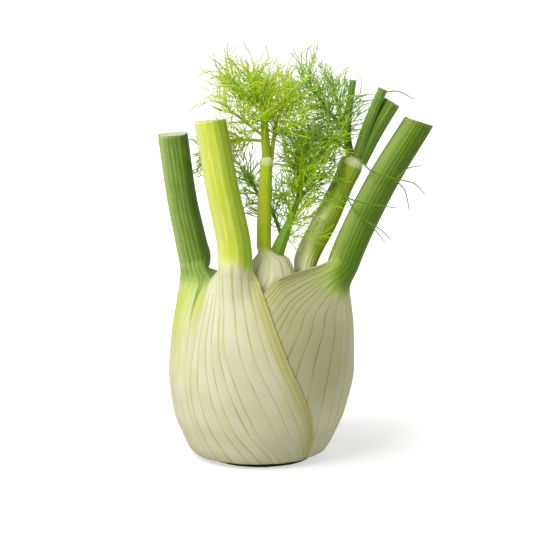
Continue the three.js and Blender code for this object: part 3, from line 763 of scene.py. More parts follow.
def leaf_material(name, leaf, settings, groups):
    """Cream flesh with veins and tinted margins, running up into a ribbed green stalk."""
    material, nodes, shader = new_material(name)
    across, along = nodes.attribute("across"), nodes.attribute("along")
    pitch, ridge = nodes.attribute("pitch"), nodes.attribute("ridge")
    veins = nodes.group(groups.vein_lines, across=across, along=along, pitch=pitch, width=VEIN_WIDTH).outputs
    ribs = nodes.group(groups.vein_lines, across=ridge, along=along, pitch=1.0, width=RIB_WIDTH).outputs
    fibres = nodes.group(groups.fibres, across=ridge, along=along, closeness=FIBRE_CLOSENESS).outputs[0]
    patches, grain = mottled(nodes, groups, PATCH_SIZE)

    dull, wash = nodes.attribute("dull"), nodes.attribute("wash")
    flesh = nodes.tint(opaque(settings.flesh), patches, TINTS.shade, opaque(settings.shade))
    flesh = nodes.tint(flesh, veins["Strips"], TINTS.white, opaque(settings.white))
    # Darker flesh high on the right: partly a greyer tone, partly painted shade
    flesh = nodes.mix(dull, flesh, opaque(settings.dull))
    # Painted shade where a base lies under the leaf over it, partly also the greener tone of covered flesh
    flesh = nodes.tint(flesh, nodes.attribute("tucked"), TINTS.tucked, opaque(settings.rim))
    flesh = nodes.tint(flesh, nodes.attribute("rim"), TINTS.rim, opaque(settings.rim))
    flesh = nodes.tint(flesh, wash, TINTS.wash, opaque(settings.wash))
    # Veins darker where the flesh is dulled, partly painted shade
    dark_vein = opaque(tuple(part * DULL_SHADE_VEIN for part in settings.vein))
    vein = nodes.mix(dull, opaque(settings.vein), dark_vein)
    strength = nodes.math("MULTIPLY_ADD", wash, -WASHED_VEIN, TINTS.vein)
    flesh = nodes.tint(flesh, veins["Mask"], strength, vein)

    streaked = nodes.math("MULTIPLY", nodes.math("SUBTRACT", fibres, 0.5), STREAK_EDGE)
    green = nodes.attribute("green")
    edge = nodes.math("MULTIPLY", nodes.math("MULTIPLY", green, nodes.math("SUBTRACT", 1.0, green)), 4.0)
    green = nodes.math("ADD", green, nodes.math("MULTIPLY", streaked, edge))
    pale, middle, full = (opaque(colour(code)) for code in leaf.stalk)
    rib = opaque(colour(leaf.rib))
    deep = nodes.attribute("deep")
    plain = nodes.math("MULTIPLY_ADD", deep, -DEEP_SHADED_RIB, 1.0)
    stalk = nodes.mix(nodes.map_range(green, 0.3, 0.9), pale, middle)
    stalk = nodes.mix(nodes.map_range(green, 0.75, 1.0), stalk, full)
    # A stalk's right side, away from the light, darker: partly a deeper green, partly painted shade
    stalk = nodes.tint(stalk, deep, TINTS.deep, opaque(colour(leaf.deep)))
    stalk = nodes.tint(stalk, nodes.attribute("lit"), TINTS.lit, pale)
    stalk = nodes.tint(stalk, nodes.map_range(fibres, 0.5, 0.8), plain, rib)
    stalk = nodes.tint(stalk, nodes.math("MULTIPLY", ribs["Mask"], plain), TINTS.rib, rib)
    stalk = nodes.tint(stalk, nodes.attribute("channel"), TINTS.channel, pale)
    stalk = nodes.tint(stalk, patches, TINTS.patches, pale)
    stalk = nodes.tint(stalk, nodes.attribute("tongue"), TINTS.tongue, pale)
    skin = nodes.mix(nodes.map_range(green, 0.0, 0.45), flesh, stalk)
    skin = nodes.mix(nodes.attribute("collar"), skin, pale)

    relief = nodes.math("MULTIPLY_ADD", grain, 0.35, fibres)
    finish_skin(
        nodes, shader, skin, grain, rough=(0.22, 0.3),
        relief=relief, bump=(0.25, 0.25 * MM), inner=(0.25, 3 * MM),
    )
    shader.inputs["Subsurface Radius"].default_value = (1.0, 0.95, 0.45)
    shader.inputs["Specular IOR Level"].default_value = 0.2
    return material


def cut_material(name, leaf_colour, settings, groups):
    """A cut end: pale moist flesh, dotted where the fibres end, with a thin green skin at its rim."""
    material, nodes, shader = new_material(name)
    radius = nodes.attribute("radius")
    patches, grain = mottled(nodes, groups, 4 * MM)
    cells = nodes.add("ShaderNodeTexVoronoi", nodes.place(), None, 700.0)
    dots = nodes.math("SUBTRACT", 1.0, nodes.map_range(cells.outputs["Distance"], 0.1, 0.32))
    outwards = nodes.map_range(radius, 0.35, 0.8, 0.15, 0.5)
    flesh = nodes.tint(opaque(settings.cut), dots, outwards, opaque(settings.rim))
    flesh = nodes.tint(flesh, patches, 0.3, opaque(settings.shade))
    skin = nodes.mix(nodes.map_range(radius, 0.88, 0.97), flesh, opaque(leaf_colour))
    finish_skin(
        nodes, shader, skin, grain, rough=(0.3, 0.3),
        relief=grain, bump=(0.5, 0.3 * MM), inner=(0.2, 2 * MM),
    )
    return material


def stem_material(name, tones, groups):
    """A slim green stem with fine lines along it, paler on some of them."""
    material, nodes, shader = new_material(name)
    across, along = nodes.attribute("across"), nodes.attribute("along")
    fibres = nodes.group(groups.fibres, across=across, along=along, closeness=1.5).outputs[0]
    patches, grain = mottled(nodes, groups, 9 * MM)
    light, dark = (opaque(colour(code)) for code in tones)
    skin = nodes.mix(nodes.map_range(fibres, 0.4, 0.65), dark, light)
    skin = nodes.tint(skin, patches, 0.4, light)
    finish_skin(
        nodes, shader, skin, grain, rough=(0.25, 0.32),
        relief=fibres, bump=(0.3, 0.2 * MM), inner=(0.15, 1.5 * MM),
    )
    return material


def thread_material(name, tones, groups):
    """Fine green threads, each in a tone of its own, lighter towards the tips."""
    material, nodes, shader = new_material(name)
    patches, grain = mottled(nodes, groups, 8 * MM)
    light, dark = (opaque(colour(code)) for code in tones)
    skin = nodes.mix(nodes.attribute("tone"), dark, light)
    skin = nodes.tint(skin, nodes.attribute("tip"), 0.5, light)
    skin = nodes.tint(skin, patches, 0.4, dark)
    finish_skin(nodes, shader, skin, grain, rough=(0.3, 0.35), inner=(0.3, 1.5 * MM))
    shader.inputs["Subsurface Radius"].default_value = (0.7, 1.0, 0.2)
    return material


def crown_material(settings, groups):
    """A dull cut stem with rings of fibre ends, browned where it has dried."""
    material, nodes, shader = new_material("crown_cut")
    radius = nodes.attribute("radius")
    patches, grain = mottled(nodes, groups, 7 * MM)
    rings = nodes.math("SINE", nodes.math("MULTIPLY", radius, 40.0))
    dried = nodes.math("ADD", nodes.map_range(radius, 0.55, 0.95), nodes.math("MULTIPLY", patches, 0.5))
    dried = nodes.math("MULTIPLY_ADD", rings, 0.08, dried)
    skin = nodes.mix(dried, opaque(settings.cut), opaque(settings.browned))
    finish_skin(nodes, shader, skin, grain, rough=(0.3, 0.6), relief=grain, bump=(0.6, 0.4 * MM))
    return material


def shared_groups():
    """The shader groups that several materials use."""
    return SimpleNamespace(
        vein_lines=vein_lines_group(), fibres=fibres_group(), mottling=mottling_group()
    )


def on_shell(shell, angle, depth, height):
    """Points on a shell, sunk by a depth."""
    turn = np.radians(angle)
    x = shell.x + (shell.half_width - depth) * np.sin(turn)
    y = shell.y - (shell.half_depth - depth) * np.cos(turn)
    return np.stack([x, y, height + 0 * x], axis=-1)


def base_thickness(leaf, share, sunk, height, margin):
    """How thick a leaf base is, from its margins (share 0 and 1) to its middle."""
    swell = np.sqrt(np.maximum(np.sin(np.pi * share), 0))
    return lerp(margin, np.maximum(leaf.thickness(height) - sunk, margin), swell)


def sunk_depth(leaf, angle, height, margin):
    """How deep a leaf base is pressed in by the leaves that lie over it."""
    deepest = 0 * angle
    for name in leaf.covered_by:
        cover = LEAVES[name]
        low, high = cover.low(height), cover.high(height)
        turned = np.where(angle > high + 180, angle - 360, angle)
        share = np.clip((turned - low) / (high - low), 0, 1)
        beyond = np.maximum(np.maximum(low - turned, turned - high), 0)
        outside = sunk_depth(cover, turned, height, margin)
        under = outside + base_thickness(cover, share, 0, height, margin) + LEAF_GAP
        deepest = np.maximum(deepest, under * (1 - smoothstep(beyond, TUCK, TUCK + RISE)))
    return deepest


def line_point(leaf, height):
    return np.stack([leaf.line_x(height), leaf.line_y(height), height], axis=-1)


def stalk_points(leaf, share, inside, relief, height):
    """Points of a stalk's section, square to its middle line."""
    along = line_point(leaf, height + 0.5) - line_point(leaf, height - 0.5)
    along[..., 2] = 1
    along = unit(along)
    shell = leaf.shell(np.minimum(height, leaf.blend[1]))
    foot = line_point(leaf, np.array(float(leaf.blend[0])))
    x, y = (foot[0] - shell.x) / shell.half_width, (foot[1] - shell.y) / shell.half_depth
    outward = np.stack([x, y, 0 * x], axis=-1)
    outward = unit(outward - along * np.sum(outward * along, axis=-1, keepdims=True))
    sideways = np.cross(along, outward)
    turn = np.where(inside, 180 + (1 - 2 * share) * CHANNEL_FACE, lerp(-OUTER_FACE, OUTER_FACE, share))
    hollow = np.where(inside, 1 - CHANNEL_DEPTH * np.sin(np.pi * share), 1)
    angle = np.radians(turn)
    aside = ((leaf.width(height) / 2 + relief) * hollow * np.sin(angle))[..., None]
    out = ((leaf.depth(height) / 2 + relief) * hollow * np.cos(angle))[..., None]
    return line_point(leaf, height) + sideways * aside + outward * out


def leaf_places(veins):
    """Where points lie across a leaf's face, in vein strips from the first margin."""
    each = max(LEAST_PLACES, 2 * round(FACE_PLACES / veins / 2))
    strips = np.arange(veins * each) / each
    edge = np.array(MARGIN_PLACES) * veins
    return np.unique(np.concatenate([strips, edge, veins - edge]).round(6))


def leaf_heights(leaf):
    """Heights of a leaf's rings, closer together at its foot and its neck."""
    low = leaf.foot + FOOT_BAND
    neck, stalk = leaf.blend[1] - NECK_BAND, leaf.blend[1] + 2
    stretches = ((leaf.foot, low, FOOT_STEP), (low, neck, RING_STEP), (neck, stalk, NECK_STEP))
    rings = [np.linspace(a, b, round((b - a) / step), endpoint=False) for a, b, step in stretches]
    return np.concatenate([*rings, np.linspace(stalk, leaf.top, round((leaf.top - stalk) / RING_STEP))])


GROOVE_WIDTH = 0.09  # as a share of a vein's strip
RIB_ROUND = 0.2  # width of a rib as a share of the distance from rib to rib
EDGE_ROUND = 0.45  # how much of a margin's thickness is rounded off
CHANNEL_EDGE = 0.08  # how far the channel's tint reaches over the outer face
COLLAR = (4, 2)  # where a joint's pale collar starts and is full, below its top
JOINT_RISE = 2
ALONG_UNIT = 10  # millimetres to a unit of the attribute along
RIM_TINT = 7  # how far the tint of a margin reaches
DULL_SHADE_HEIGHTS = (20, 55)  # where a base grows duller and darker, partly a greyer tone and partly painted shade
DULL_SHADE_ANGLES = (40, 85)  # where it grows less so again
DULL_SHADE_LOSS = 0.6  # by how much
DEEP_AND_SHADED_SIDE = (0, 0.62)  # from a stalk's middle line (0) to its right side (1), where it darkens, partly a deeper green and partly painted shade
LIT_SIDE = (-1, -0.35)  # from its left side, where it is paler
TONGUE_SIDE = (-0.3, 0.15)  # the right border of the pale tongue on a stalk
TONGUE_TIP = (124, 138)  # heights over which that tongue ends
TUCK_DEPTH = 5  # how deep a base lies where it is darkest and greenest beside the leaf over it: painted shade, partly also the greener tone of covered flesh
SWELLS = ((0.21, 0.11, 0.4), (-0.13, 0.17, 2.1), (0.34, 0.05, 4.0))  # across, along and phase of each wave


def leaf_grid(leaf, settings):
    """A leaf's rings of points, with the values that its material reads at each of them."""
    margin, groove, flute = settings.margin / MM, settings.groove / MM, settings.flute / MM
    strips = leaf_places(leaf.veins)
    count = leaf.veins
    wave = strips / count
    crowding = np.where(wave < 0.5, *leaf.crowding)
    shares = wave - crowding * np.sin(2 * np.pi * wave) / (2 * np.pi)
    for waves, amount, phase in UNEVEN_VEINS:
        turn = 2 * np.pi * waves
        shares = shares + amount * (np.sin(turn * wave + phase) - np.sin(phase)) / turn
    share = np.concatenate([shares, shares[::-1]])[None, :]
    inside = np.repeat([False, True], len(shares))[None, :]
    strip = np.concatenate([strips, strips[::-1]])[None, :]
    height = leaf_heights(leaf)[:, None]
    share = share + leaf.drift(height) * np.sin(np.pi * share)

    beside = strip - np.floor(strip) - 0.5
    line = np.where(inside, 0, np.exp(-((beside / GROOVE_WIDTH) ** 2)))
    fluting = np.where(inside, 0, np.cos(np.pi * beside) ** 2)
    shell = leaf.shell(height)
    low, high = leaf.low(height), leaf.high(height)
    angle = lerp(low, high, share)
    sunk = sunk_depth(leaf, angle, height, margin)
    thickness = base_thickness(leaf, share, sunk, height, margin)
    span = np.radians(high - low) * shell.half_width
    from_margin = np.minimum(share, 1 - share) * span
    closeness = 1 - crowding * np.cos(2 * np.pi * wave)
    pitch = span / count * np.concatenate([closeness, closeness[::-1]])[None, :]
    round_off = EDGE_ROUND * margin
    left = np.clip(1 - from_margin / round_off, 0, 1)
    rounding = round_off * (1 - np.sqrt(1 - left * left))
    uneven = sum(np.sin(a * angle + b * height + c) for a, b, c in SWELLS) / len(SWELLS)
    relief = groove * line + flute * fluting + settings.unevenness / MM * uneven * np.sin(np.pi * share)
    depth = np.where(inside, sunk + thickness - rounding, sunk + relief + rounding)
    base = on_shell(shell, angle, depth, height)

    ridge = strip * leaf.ribs / count
    beside_rib = ridge - np.floor(ridge) - 0.5
    ribs = settings.rib / MM * np.where(inside, 0, np.exp(-((beside_rib / RIB_ROUND) ** 2)))
    stalk = stalk_points(leaf, share, inside, ribs + 0 * height, height + 0 * share)
    start, end = leaf.blend
    lag = leaf.margin_lag * (end - start) * (2 * share - 1) ** 2
    towards = smoothstep(height, start + lag, end)
    points = lerp(base, stalk, towards[..., None])

    reach = sum((r * np.exp(-(((share - s) / w) ** 2)) for s, w, r in leaf.streaks), 0 * share)
    green = smoothstep(height + reach, *leaf.fade)
    wash = 0 * green
    for middle, width, bottom, top in leaf.wash:
        wash = np.maximum(wash, np.exp(-(((share - middle) / width) ** 2)) * smoothstep(height, bottom, top))
    beside_channel = np.exp(-((np.minimum(share, 1 - share) / CHANNEL_EDGE) ** 2))
    rim_weight = np.where(share < 0.5, *leaf.rim)
    collar = smoothstep(height, *(leaf.top - below for below in COLLAR)) * (leaf.end == "joint")
    side = (points[..., 0] - leaf.line_x(height)) / leaf.width(height) * 2
    tongue = smoothstep(side, *TONGUE_SIDE[::-1]) * (1 - smoothstep(height, *TONGUE_TIP))
    # Darkening high on the base, weaker further round to the right: partly a greyer tone, partly painted
    # shade
    dull = smoothstep(height, *DULL_SHADE_HEIGHTS) * (1 - DULL_SHADE_LOSS * smoothstep(angle, *DULL_SHADE_ANGLES))
    values = dict(
        across=strip + 0 * height,
        ridge=ridge + 0 * height,
        along=height / ALONG_UNIT + 0 * share,
        green=green,
        rim=rim_weight * np.exp(-((from_margin / RIM_TINT) ** 2)) * (1 - towards),
        wash=wash,
        tucked=np.clip(sunk / TUCK_DEPTH, 0, 1),
        dull=leaf.dull * dull,
        deep=smoothstep(side, *DEEP_AND_SHADED_SIDE) * towards,
        lit=smoothstep(side, *LIT_SIDE[::-1]) * towards,
        tongue=leaf.tongue * tongue,
        pitch=pitch + 0 * share,
        channel=leaf.channel * np.where(inside, 1, beside_channel) * towards,
        collar=collar + 0 * share,
        radius=1 + 0 * height * share,
    )
    return points, values


def capped(points, values, middle, sink, cut):
    """Adds the rings that close a section at its top, shrinking towards a middle point."""
    top = points[-1]
    rings, extra = [], {name: [] for name in values}
    for share in CUT_RINGS:
        ring = middle + (top - middle) * share
        rings.append(ring + sink * (1 - share * share))
        for name, value in values.items():
            extra[name].append(value[-1] * 0 + share if name == "radius" else value[-1])
    if not cut:
        extra["radius"] = [value * 0 + 1 for value in extra["radius"]]
    points = np.concatenate([points, np.array(rings)])
    return points, {name: np.concatenate([value, np.array(extra[name])]) for name, value in values.items()}


def ring_faces(rings, count):
    """A list of four-cornered faces between rings of points."""
    first = np.arange(rings - 1)[:, None] * count
    i = np.arange(count)[None, :]
    j = (i + 1) % count
    corners = np.stack([first + i, first + j, first + count + j, first + count + i], axis=-1)
    return [tuple(face) for face in corners.reshape(-1, 4).tolist()]


def fan_faces(first, count, apex):
    """A list of three-cornered faces from a ring to one point."""
    return [(first + i, first + (i + 1) % count, apex) for i in range(count)]


def with_apex(points, values, apex):
    """Rings of points and values as plain lists, with one more point in the middle of the last ring."""
    ends = {key: 0 if key == "radius" else value[-1, 0] for key, value in values.items()}
    values = {key: np.append(value, ends[key]) for key, value in values.items()}
    return np.concatenate([points.reshape(-1, 3), [apex]]), values


def set_values(mesh, values):
    """Keeps values at a mesh's points, for materials and node trees to read."""
    for key, value in values.items():
        attribute = mesh.attributes.new(key, "FLOAT", "POINT")
        attribute.data.foreach_set("value", np.asarray(value, np.float32).ravel())


def linked(name, mesh):
    """A new object in the scene."""
    piece = bpy.data.objects.new(name, mesh)
    bpy.context.scene.collection.objects.link(piece)
    return piece


def new_piece(name, points, faces, values, materials, cut_faces=()):
    """A smooth mesh object at the origin, with values at its points and its cut faces in a second finish."""
    mesh = bpy.data.meshes.new(name)
    mesh.from_pydata((np.asarray(points) * MM).tolist(), [], faces)
    mesh.validate()
    set_values(mesh, values)
    for material in materials:
        mesh.materials.append(material)
    finish = np.zeros(len(mesh.polygons), np.int32)
    finish[list(cut_faces)] = 1 if len(materials) > 1 else 0
    mesh.polygons.foreach_set("material_index", finish)
    mesh.shade_smooth()
    return linked(name, mesh)


def signed_volume(points, faces):
    """Above 0 where the faces of a closed mesh point outwards."""
    total = 0.0
    for face in faces:
        corners = points[list(face)]
        for b, c in zip(corners[1:-1], corners[2:]):
            total += np.dot(corners[0], np.cross(b, c))
    return total / 6


def closed_faces(points, faces):
    """The faces, turned round if they point inwards."""
    return faces if signed_volume(points, faces) > 0 else [tuple(reversed(face)) for face in faces]


def build_leaf(name, leaf, settings, groups):
    """One leaf as a closed mesh: base, stalk, and its cut end or joint."""
    points, values = leaf_grid(leaf, settings)
    rings, count = points.shape[:2]
    middle = line_point(leaf, np.array(leaf.top))
    axis = unit(middle - line_point(leaf, np.array(leaf.top - 1)))
    cut = leaf.end == "cut"
    sink = -axis * CUT_DISH if cut else axis * JOINT_RISE
    points, values = capped(points, values, middle, sink, cut)
    faces = ring_faces(len(points), count)
    end_faces = range((rings - 1) * count, len(faces) + count) if cut else ()
    faces += fan_faces((len(points) - 1) * count, count, len(points) * count)
    half = count // 2
    faces += [(i + 1, i, count - 1 - i, count - 2 - i) for i in range(half - 1)]
    flat, values = with_apex(points, values, middle + sink)
    materials = [leaf_material(name + "_skin", leaf, settings, groups)]
    if cut:
        materials.append(cut_material(name + "_cut", colour(leaf.stalk[2]), settings, groups))
    return new_piece(name + "_leaf", flat, closed_faces(flat, faces), values, materials, end_faces)


def stem_curve(points, share):
    """Points on a smooth curve through a stem's points, by share of its length."""
    knots = np.array(points, float)
    reach = np.concatenate([[0], np.cumsum(np.linalg.norm(np.diff(knots, axis=0), axis=1))])
    at = np.asarray(share) * reach[-1]
    return np.stack([through(*zip(reach, knots[:, i]))(at) for i in range(3)], axis=-1)


STEM_STEP = 1.0
STEM_RIBS = 9
STEM_RIB_HEIGHT = 0.07  # as a share of the stem's radius
STEM_DISH = 0.1  # how far a cut end sinks, as a share of its radius
STEM_TIP = 0.6  # how far an uncut end rises, as a share of its radius
STEM_SIDES = 36
THIN_STEM = 1.6  # radius below which a stem has fewer sides


def stem_length(stem):
    return np.linalg.norm(np.diff(np.array(stem.points, float), axis=0), axis=1).sum()


def build_stem(stem):
    """One stem as a ribbed rod: points, faces, values, and which faces are its cut end."""
    length = stem_length(stem)
    share = np.linspace(0, 1, max(4, round(length / STEM_STEP)))
    line = stem_curve(stem.points, share)
    radius = through(*zip(np.linspace(0, 1, len(stem.radii)), stem.radii))(share)
    along = unit(np.gradient(line, axis=0))
    across = unit(np.cross([0, 1, 0], along))
    over = np.cross(along, across)
    sides = STEM_SIDES if stem.radii[0] > THIN_STEM else STEM_SIDES // 3
    turn = np.linspace(0, 2 * np.pi, sides, endpoint=False)
    ribbed = 1 + STEM_RIB_HEIGHT * np.cos(STEM_RIBS * turn) * (sides == STEM_SIDES)
    spoke = np.cos(turn)[None, :, None] * across[:, None] + np.sin(turn)[None, :, None] * over[:, None]
    points = line[:, None] + spoke * (radius[:, None] * ribbed)[..., None]
    values = dict(
        across=turn[None, :] * STEM_RIBS / np.pi + 0 * share[:, None],
        along=share[:, None] * length / ALONG_UNIT + 0 * turn[None, :],
        radius=1 + 0 * share[:, None] * turn[None, :],
    )
    sink = along[-1] * (-STEM_DISH if stem.cut else STEM_TIP) * radius[-1]
    body_rings = len(points)
    points, values = capped(points, values, line[-1], sink, stem.cut)
    faces = ring_faces(len(points), sides)
    cut_from = (body_rings - 1) * sides if stem.cut else len(faces) + sides
    faces += fan_faces((len(points) - 1) * sides, sides, len(points) * sides)
    faces += [tuple(reversed(range(sides)))]
    flat, values = with_apex(points, values, line[-1] + sink)
    return flat, closed_faces(flat, faces), values, range(cut_from, len(faces) - 1)


def build_stems(name, frond, settings, groups):
    """All the stems of a frond as one piece."""
    points, faces, values, cut_faces = [], [], {}, []
    for stem in frond.stems:
        stem_points, stem_faces, stem_values, stem_cut = build_stem(stem)
        start = sum(len(part) for part in points)
        cut_faces += [len(faces) + i for i in stem_cut]
        faces += [tuple(start + i for i in face) for face in stem_faces]
        points.append(stem_points)
        for key, value in stem_values.items():
            values.setdefault(key, []).append(value)
    joined = {key: np.concatenate(value) for key, value in values.items()}
    materials = [
        stem_material(name + "_skin", frond.skin, groups),
        cut_material(name + "_cut", colour(frond.skin[1]), settings, groups),
    ]
    return new_piece(name + "_stems", np.concatenate(points), faces, joined, materials, cut_faces)


SLANT_RANGE = (0.75, 1.25)  # how far a shoot's slant may differ from the usual one
LENGTH_RANGE = (0.7, 1.25)  # and its length
WAVER_SCALE = 160.0
THREAD_SIDES = 4
TIP_SHARE = 0.6  # radius at a tip, as a share of a thread's at its foot
FORK_SHARE = 0.85  # radius at a fork's foot, likewise


def side_shoots_group():
    """Grows a straight shoot from every step along curves, turning round them from each to the next."""
    nodes, given, result = new_group(
        "Side shoots",
        "GeometryNodeTree",
        [
            ("Curves", "Geometry"),
            ("Step", "Float"),
            ("Length", "Float"),
            ("Tip length", "Float"),
            ("Slant", "Float"),
            ("Turn", "Float"),
            ("Turn chance", "Float"),
            ("Points", "Int"),
            ("Seed", "Int"),
        ],
        [("Curves", "Geometry")],
    )
    placed = nodes.store(given["Curves"], "place", nodes.out("GeometryNodeSplineParameter"))
    spots = nodes.add("GeometryNodeCurveToPoints", mode="LENGTH")
    nodes.feed(spots.inputs["Curve"], placed)
    nodes.feed(spots.inputs["Length"], given["Step"])

    def chance(low, high, extra):
        node = nodes.add("FunctionNodeRandomValue", data_type="FLOAT")
        for socket, value in zip(live(node.inputs), (low, high)):
            nodes.feed(socket, value)
        nodes.feed(node.inputs["Seed"], nodes.math("ADD", given["Seed"], extra))
        return live(node.outputs)[0]

    index = nodes.out("GeometryNodeInputIndex")
    spin = nodes.math("MULTIPLY", nodes.math("SUBTRACT", chance(0.0, 1.0, 1.0), 0.5), given["Turn chance"])
    spin = nodes.math("ADD", spin, nodes.math("MULTIPLY", index, given["Turn"]))
    slant = nodes.math("MULTIPLY", given["Slant"], chance(*SLANT_RANGE, 2.0))
    facing = nodes.add("FunctionNodeAlignRotationToVector", axis="Z")
    nodes.feed(facing.inputs["Vector"], spots.outputs["Tangent"])
    turn = nodes.out("FunctionNodeEulerToRotation", nodes.vector(0.0, 0.0, spin))
    tilt = nodes.out("FunctionNodeEulerToRotation", nodes.vector(0.0, slant, 0.0))
    turned = nodes.out("FunctionNodeRotateRotation", facing.outputs[0], turn, rotation_space="LOCAL")
    tilted = nodes.out("FunctionNodeRotateRotation", turned, tilt, rotation_space="LOCAL")
    shrink = nodes.map_range(nodes.named("place"), 0.0, 1.0, 1.0, given["Tip length"])
    shortened = nodes.math("MULTIPLY", given["Length"], shrink)
    length = nodes.math("MULTIPLY", shortened, chance(*LENGTH_RANGE, 3.0))

    line = nodes.add("GeometryNodeCurvePrimitiveLine", mode="POINTS")
    line.inputs["End"].default_value = (0, 0, 1)
    shoot = nodes.add("GeometryNodeResampleCurve", mode="COUNT")
    nodes.feed(shoot.inputs["Curve"], line.outputs[0])
    nodes.feed(shoot.inputs["Count"], given["Points"])
    grown = nodes.add("GeometryNodeInstanceOnPoints")
    nodes.feed(grown.inputs["Points"], spots.outputs["Points"])
    nodes.feed(grown.inputs["Instance"], shoot.outputs[0])
    nodes.feed(grown.inputs["Rotation"], tilted)
    nodes.feed(grown.inputs["Scale"], nodes.vector(length, length, length))
    nodes.feed(result["Curves"], nodes.out("GeometryNodeRealizeInstances", grown.outputs[0]))
    return nodes.tree


def curl_group():
    """Bends each curve aside by a random amount, lifts it towards its tip, and makes it waver."""
    nodes, given, result = new_group(
        "Curl",
        "GeometryNodeTree",
        [("Curves", "Geometry"), ("Amount", "Float"), ("Lift", "Float"), ("Waver", "Float"), ("Seed", "Int")],
        [("Curves", "Geometry")],
    )
    share = nodes.out("GeometryNodeSplineParameter")
    length = nodes.out("GeometryNodeSplineLength")
    curve_index = nodes.out("GeometryNodeCurveOfPoint")
    direction = nodes.add("FunctionNodeRandomValue", data_type="FLOAT_VECTOR")
    direction.inputs[0].default_value = (-1, -1, -1)
    direction.inputs[1].default_value = (1, 1, 1)
    nodes.feed(direction.inputs["ID"], curve_index)
    nodes.feed(direction.inputs["Seed"], given["Seed"])
    squared = nodes.math("MULTIPLY", share, share)
    bend = nodes.math("MULTIPLY", nodes.math("MULTIPLY", squared, length), given["Amount"])
    offset = nodes.vector_math("SCALE", direction.outputs[0])
    nodes.feed(offset.node.inputs["Scale"], bend)
    rise = nodes.math("MULTIPLY", nodes.math("MULTIPLY", squared, length), given["Lift"])
    offset = nodes.vector_math("ADD", offset, nodes.vector(0.0, 0.0, rise))
    noise = nodes.add("ShaderNodeTexNoise", None, None, WAVER_SCALE, 1.0)
    swing = nodes.vector_math("SUBTRACT", noise.outputs["Color"], (0.5, 0.5, 0.5))
    waver = nodes.vector_math("SCALE", swing)
    nodes.feed(waver.node.inputs["Scale"], nodes.math("MULTIPLY", share, given["Waver"]))
    moved = nodes.add("GeometryNodeSetPosition")
    nodes.feed(moved.inputs["Geometry"], given["Curves"])
    nodes.feed(moved.inputs["Offset"], nodes.vector_math("ADD", offset, waver))
    nodes.feed(result["Curves"], moved.outputs[0])
    return nodes.tree


def keep_clear_group():
    """Leaves out the curves that come too near to an obstacle's faces, or run inside it."""
    nodes, given, result = new_group(
        "Keep clear",
        "GeometryNodeTree",
        [("Curves", "Geometry"), ("Obstacle", "Geometry"), ("Clearance", "Float")],
        [("Curves", "Geometry")],
    )
    position = nodes.out("GeometryNodeInputPosition")
    near = nodes.add("GeometryNodeProximity", target_element="FACES")
    nodes.feed(near.inputs[0], given["Obstacle"])
    normal = nodes.add("GeometryNodeSampleNearestSurface", data_type="FLOAT_VECTOR")
    nodes.feed(normal.inputs["Mesh"], given["Obstacle"])
    nodes.feed(normal.inputs["Value"], nodes.out("GeometryNodeInputNormal"))
    off = nodes.vector_math("SUBTRACT", position, near.outputs["Position"])
    dot = nodes.add("ShaderNodeVectorMath", off, normal.outputs[0], operation="DOT_PRODUCT")
    side = dot.outputs["Value"]
    reach = nodes.math("MULTIPLY", near.outputs["Distance"], nodes.math("SIGN", side))
    struck = nodes.math("LESS_THAN", reach, given["Clearance"])
    total = nodes.add("GeometryNodeAccumulateField", data_type="FLOAT", domain="POINT")
    nodes.feed(total.inputs[0], struck)
    nodes.feed(total.inputs["Group ID"], nodes.out("GeometryNodeCurveOfPoint"))
    cleared = nodes.add("GeometryNodeDeleteGeometry", domain="POINT")
    nodes.feed(cleared.inputs["Geometry"], given["Curves"])
    nodes.feed(cleared.inputs["Selection"], nodes.math("GREATER_THAN", total.outputs["Total"], 0.5))
    nodes.feed(result["Curves"], cleared.outputs[0])
    return nodes.tree


def thread_mesh_group():
    """Turns curves into tapering threads that carry their own tone and know their tips."""
    nodes, given, result = new_group(
        "Thread mesh",
        "GeometryNodeTree",
        [("Curves", "Geometry"), ("Foot radius", "Float"), ("Tip radius", "Float"), ("Seed", "Int")],
        [("Mesh", "Geometry")],
    )
    share = nodes.out("GeometryNodeSplineParameter")
    tone = nodes.add("FunctionNodeRandomValue", data_type="FLOAT")
    nodes.feed(tone.inputs["ID"], nodes.out("GeometryNodeCurveOfPoint"))
    nodes.feed(tone.inputs["Seed"], given["Seed"])
    curves = nodes.store(given["Curves"], "tip", share)
    curves = nodes.store(curves, "tone", live(tone.outputs)[0])
    taper = nodes.math("SUBTRACT", given["Tip radius"], given["Foot radius"])
    radius = nodes.math("ADD", given["Foot radius"], nodes.math("MULTIPLY", share, taper))
    sized = nodes.add("GeometryNodeSetCurveRadius")
    nodes.feed(sized.inputs["Curve"], curves)
    nodes.feed(sized.inputs["Radius"], radius)
    section = nodes.add("GeometryNodeCurvePrimitiveCircle", mode="RADIUS")
    section.inputs["Resolution"].default_value = THREAD_SIDES
    section.inputs["Radius"].default_value = 1
    tube = nodes.add("GeometryNodeCurveToMesh")
    nodes.feed(tube.inputs["Curve"], sized.outputs[0])
    nodes.feed(tube.inputs["Profile Curve"], section.outputs[0])
    if "Scale" in tube.inputs:
        nodes.feed(tube.inputs["Scale"], nodes.out("GeometryNodeInputRadius"))
    tube.inputs["Fill Caps"].default_value = True
    nodes.feed(result["Mesh"], tube.outputs[0])
    return nodes.tree


FROND_INPUTS = (
    ("Stems", "Geometry"),
    ("Pinna step", "Float"),
    ("Pinna radius", "Float"),
    ("Thread step", "Float"),
    ("Thread length", "Float"),
    ("Thread radius", "Float"),
    ("Fork step", "Float"),
    ("Fork length", "Float"),
    ("Clearance", "Float"),
    ("Curl", "Float"),
    ("Seed", "Int"),
    ("Obstacle", "Object"),
    ("Finish", "Material"),
)
GOLDEN_TURN = math.radians(137.5)
THREAD_TURN = math.radians(166)
THREAD_SLANT = math.radians(38)
FORK_SLANT = math.radians(26)


